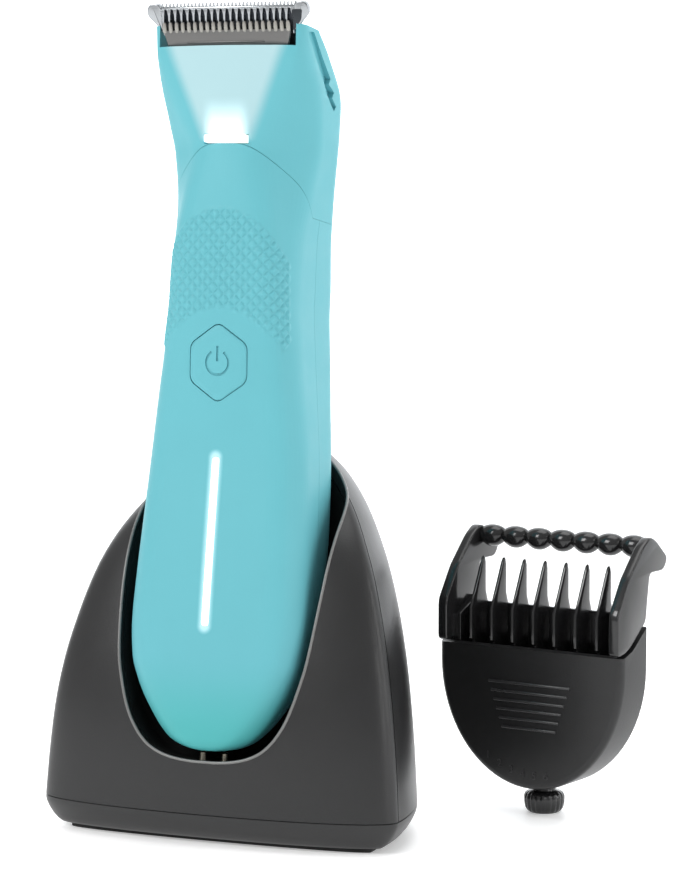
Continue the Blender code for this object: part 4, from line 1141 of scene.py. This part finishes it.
def make_comb_teeth(gloss):
    """The rising part: two cheeks, a cross wall, seven tapered spikes and a lobed bar."""
    cheek = [(-8.6, 38.2), (-8.6, 47.5), (-3.6, 54.9), (3.0, 61.4), (6.4, 63.4), (9.2, 62.2), (14.6, 58.0),
             (12.8, 55.2), (6.2, 55.2), (5.0, 48.0), (4.6, 44.6), (-2.2, 39.6), (-5.4, 38.2)]
    tongue = [(-4.8, 34.0), (-4.8, 44.0), (2.4, 47.5), (2.4, 34.0)]
    outer, inner = COMB_HALF - 0.4, COMB_HALF - COMB_WALL - GAP - 0.1
    soft_cheek = rounded_loop(cheek, 1.4, steps=5)
    pieces = []
    for side in (-1, 1):
        middle = side * (outer + inner - 0.6) / 2
        pieces.append(side_slab("cheek", soft_cheek, outer - inner + 0.6, 0.45, COMB, middle))
        pieces.append(side_slab("tongue", tongue, 2.0, 0.2, COMB, side * (inner - 1.0)))
    wall = rounded_loop([(-inner + 1, 33.0), (inner - 1, 33.0), (inner - 1, 46.5), (-inner + 1, 46.5)], 0.8)
    pieces.append(face_slab("cross_wall", wall, 1.7, 0.3, COMB, 1.65))
    pieces += [make_spike(centre) for centre in tooth_centres(SPIKE_COUNT, SPIKE_PITCH)]
    count = SPIKE_COUNT * 16
    rings = []
    for index in range(count + 1):
        share = index / count
        swell = abs(math.sin(math.pi * SPIKE_COUNT * share))
        radius = 1.1 + 1.45 * swell ** 0.6
        ring = circle(radius, 20, (7.6, 61.0 - 0.25 * swell))
        x = -inner + 2 * inner * share
        rings.append(np.column_stack([np.full(20, x), ring]))
    pieces.append(loft("lobed_bar", rings, COMB))
    stem = [(-4.0, 12.0), (4.0, 12.0), (4.0, 19.5), (-4.0, 19.5)]
    holder = face_slab("stem", stem, 5.1, 0.2, COMB, -0.05)
    carve(holder, [rod("cut_bore", 1.45, (0, 0, 5), (0, 0, 24), COMB)])
    pieces.append(holder)
    stem_plate = [(-4.2, 12.2), (4.2, 12.2), (4.2, 34.0), (-4.2, 34.0)]
    pieces.append(face_slab("stem_plate", stem_plate, 0.9, 0.15, COMB, 1.95))
    finish_piece(joined("comb_teeth_skin", pieces), "comb_slider", "comb_teeth", gloss)


def make_spike(centre):
    """One spike: a deep root that narrows to a thin rounded tip."""
    # height, front, back, half width
    sections = ((35.0, -4.6, 1.7, 0.62), (38.2, -4.7, 1.7, 0.62), (38.8, -5.8, 1.7, 0.62),
                (46.0, -5.8, 1.7, 0.60), (49.0, -4.3, 0.6, 0.58), (53.0, -2.4, 0.5, 0.52),
                (55.6, -1.2, 0.45, 0.44), (56.6, -0.75, 0.3, 0.3), (57.0, -0.45, 0.1, 0.12))
    angle, power = full_turn(16), 2 / 3.2
    rings = []
    for height, front, back, half in sections:
        x = half * bulged(np.cos(angle), power)
        y = (front + back) / 2 + (back - front) / 2 * bulged(np.sin(angle), power)
        rings.append(at_height(np.column_stack([centre + x, y]), height))
    return loft("spike", rings, COMB)


def make_dial(gloss):
    """The knurled length dial with its neck and flange."""
    # height, radius, share of the knurl's depth
    profile = ((0.0, DIAL_RADIUS - 1.3, 0), (0.35, DIAL_RADIUS - 0.8, 0.3), (1.0, DIAL_RADIUS - 0.35, 1),
               (2.2, DIAL_RADIUS - 0.1, 1), (3.6, DIAL_RADIUS - 0.05, 1), (4.3, DIAL_RADIUS - 0.3, 1),
               (4.75, DIAL_RADIUS - 0.9, 0.3), (4.9, DIAL_RADIUS - 1.5, 0), (5.0, 2.7, 0), (5.3, 2.6, 0),
               (8.7, 2.6, 0), (8.8, 2.7, 0), (8.8, 3.5, 0), (9.0, 3.6, 0), (9.5, 3.6, 0), (9.6, 3.4, 0))
    flutes, count = 20, 160
    angle = full_turn(count)
    rings = []
    for height, radius, knurl in profile:
        around = radius - 0.22 * knurl * (0.5 + 0.5 * np.cos(flutes * angle)) ** 2
        rings.append(np.column_stack([around * np.cos(angle), around * np.sin(angle), np.full(count, height)]))
    finish_piece(loft("length_dial_knob", rings, COMB), "length_dial", "selector_dial", gloss)


# ============================== carried-over nodes ============================
def dress_frame():
    """Materials for the CAD nodes that stay as they are."""
    steel = brushed("fastener_steel", (0.58, 0.58, 0.57), 0.22, 0.34, (90, 90, 90))
    brass = moulded("contact_nickel", (0.36, 0.33, 0.27), 0.3, 1.0)
    dark = satin_black("inner_black", (0.018, 0.018, 0.019))
    rubber = moulded("seal_rubber", (0.012, 0.012, 0.012), 0.75)
    board = board_finish()
    looks = {
        "battery_cell": moulded("battery_sleeve_blue", (0.03, 0.16, 0.38), 0.3),
        "drive_yoke": moulded("yoke_acetal_white", (0.78, 0.78, 0.74), 0.38),
        "head_seal": rubber,
    }
    for node in ("motor_can", "motor_shaft", "blade_spring", "detent_spring", "dial_spindle", "lower_screw",
                 "upper_screw", "blade_screw_left", "blade_screw_right", "ballast_plate", "base_screw_1",
                 "base_screw_2", "base_screw_3", "base_screw_4"):
        looks[node] = steel
    for node in ("charge_contact_left", "charge_contact_right", "charge_pin_left", "charge_pin_right", "inlet_pin"):
        looks[node] = brass
    for node in ("led_board", "main_circuit_board", "stand_circuit_board"):
        looks[node] = board
    for node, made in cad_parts.items():
        finish = looks.get(node, dark)
        if not made.material_slots:
            made.data.materials.append(finish)
        for holder in made.material_slots:
            holder.material = finish


# ============================== stage, light and camera =======================
def make_stage():
    """A slightly glowing white floor, and a glowing white wall far behind."""
    side, near, back, top = 3000, -2500, 1500, 3000
    floor = new_mesh("stage_floor", [(-side, near, 0), (side, near, 0), (side, back, 0), (-side, back, 0)],
                     [(0, 1, 2, 3)])
    made = Finish("stage_floor_white", (0.93, 0.93, 0.93), 0.5, Emission_Color=(*WHITE, 1),
                  Emission_Strength=0.30)
    made.feed("Roughness", made.ranged(made.noise(30), 0.3, 0.7, 0.42, 0.55))
    floor.data.materials.append(made.made)
    wall = new_mesh("stage_wall", [(-side, back, 0), (side, back, 0), (side, back, top), (-side, back, top)],
                    [(0, 1, 2, 3)])
    wall.data.materials.append(light_finish("stage_wall_glow", 1.08))


def area_light(name, place, aim, size, power):
    lamp = bpy.data.lights.new(name, "AREA")
    lamp.shape = "RECTANGLE"
    lamp.size, lamp.size_y = size[0] * MM, size[1] * MM
    lamp.energy = power
    made = placed(name, lamp)
    made.location = Vector(place) * MM
    made.rotation_euler = (Vector(aim) - Vector(place)).to_track_quat("-Z", "Y").to_euler()


def make_lights():
    world = bpy.data.worlds.new("soft_white")
    world.use_nodes = True
    background = world.node_tree.nodes["Background"]
    background.inputs["Color"].default_value = (*WHITE, 1.0)
    background.inputs["Strength"].default_value = 0.55
    bpy.context.scene.world = world
    area_light("key_light", (-420, -700, 620), (0, 0, 80), (420, 420), 5.2)
    area_light("edge_light", (620, 40, 260), (20, 0, 70), (40, 460), 0.7)
    area_light("corner_light", (560, -230, 190), (30, 0, 50), (36, 300), 0.40)
    area_light("top_light", (40, 60, 760), (20, 0, 60), (500, 500), 2.0)


def make_camera():
    bpy.context.scene.view_settings.view_transform = "Standard"
    turn, rise = math.radians(VIEW_TURN), math.radians(VIEW_RISE)
    back = Vector((math.sin(turn) * math.cos(rise), -math.cos(turn) * math.cos(rise), math.sin(rise)))
    lens = bpy.data.cameras.new("camera")
    lens.lens = VIEW_LENS
    lens.clip_start, lens.clip_end = 0.01, 20.0
    camera = placed("camera", lens)
    camera.location = (Vector(VIEW_AIM) + back * VIEW_DISTANCE) * MM
    camera.rotation_euler = back.to_track_quat("Z", "Y").to_euler()
    bpy.context.scene.camera = camera


make_camera()
make_stage()
make_lights()
dress_frame()
teal = teal_finish("teal_shell")
black = satin_black("stand_satin_black", low=0.34, high=0.37, shine=0.46)
comb_black = satin_black("comb_satin_black", low=0.33, high=0.36, shine=0.4)
comb_gloss = gloss_black("comb_gloss_black")
make_front_cover(lit_cover_finish())
make_rear_housing(teal)
make_head(lit_head_finish())
make_front_details(teal_finish("teal_button"))
make_moving_blade()
make_fixed_blade()
make_stand_shells(black)
make_liner(satin_black("liner_black", (0.008, 0.008, 0.008), 0.4, 0.5))
make_mouth_rim()
make_base(black, moulded("sole_rubber", (0.02, 0.02, 0.02), 0.8))
make_comb_housing(comb_black)
make_comb_teeth(comb_gloss)
make_dial(comb_gloss)
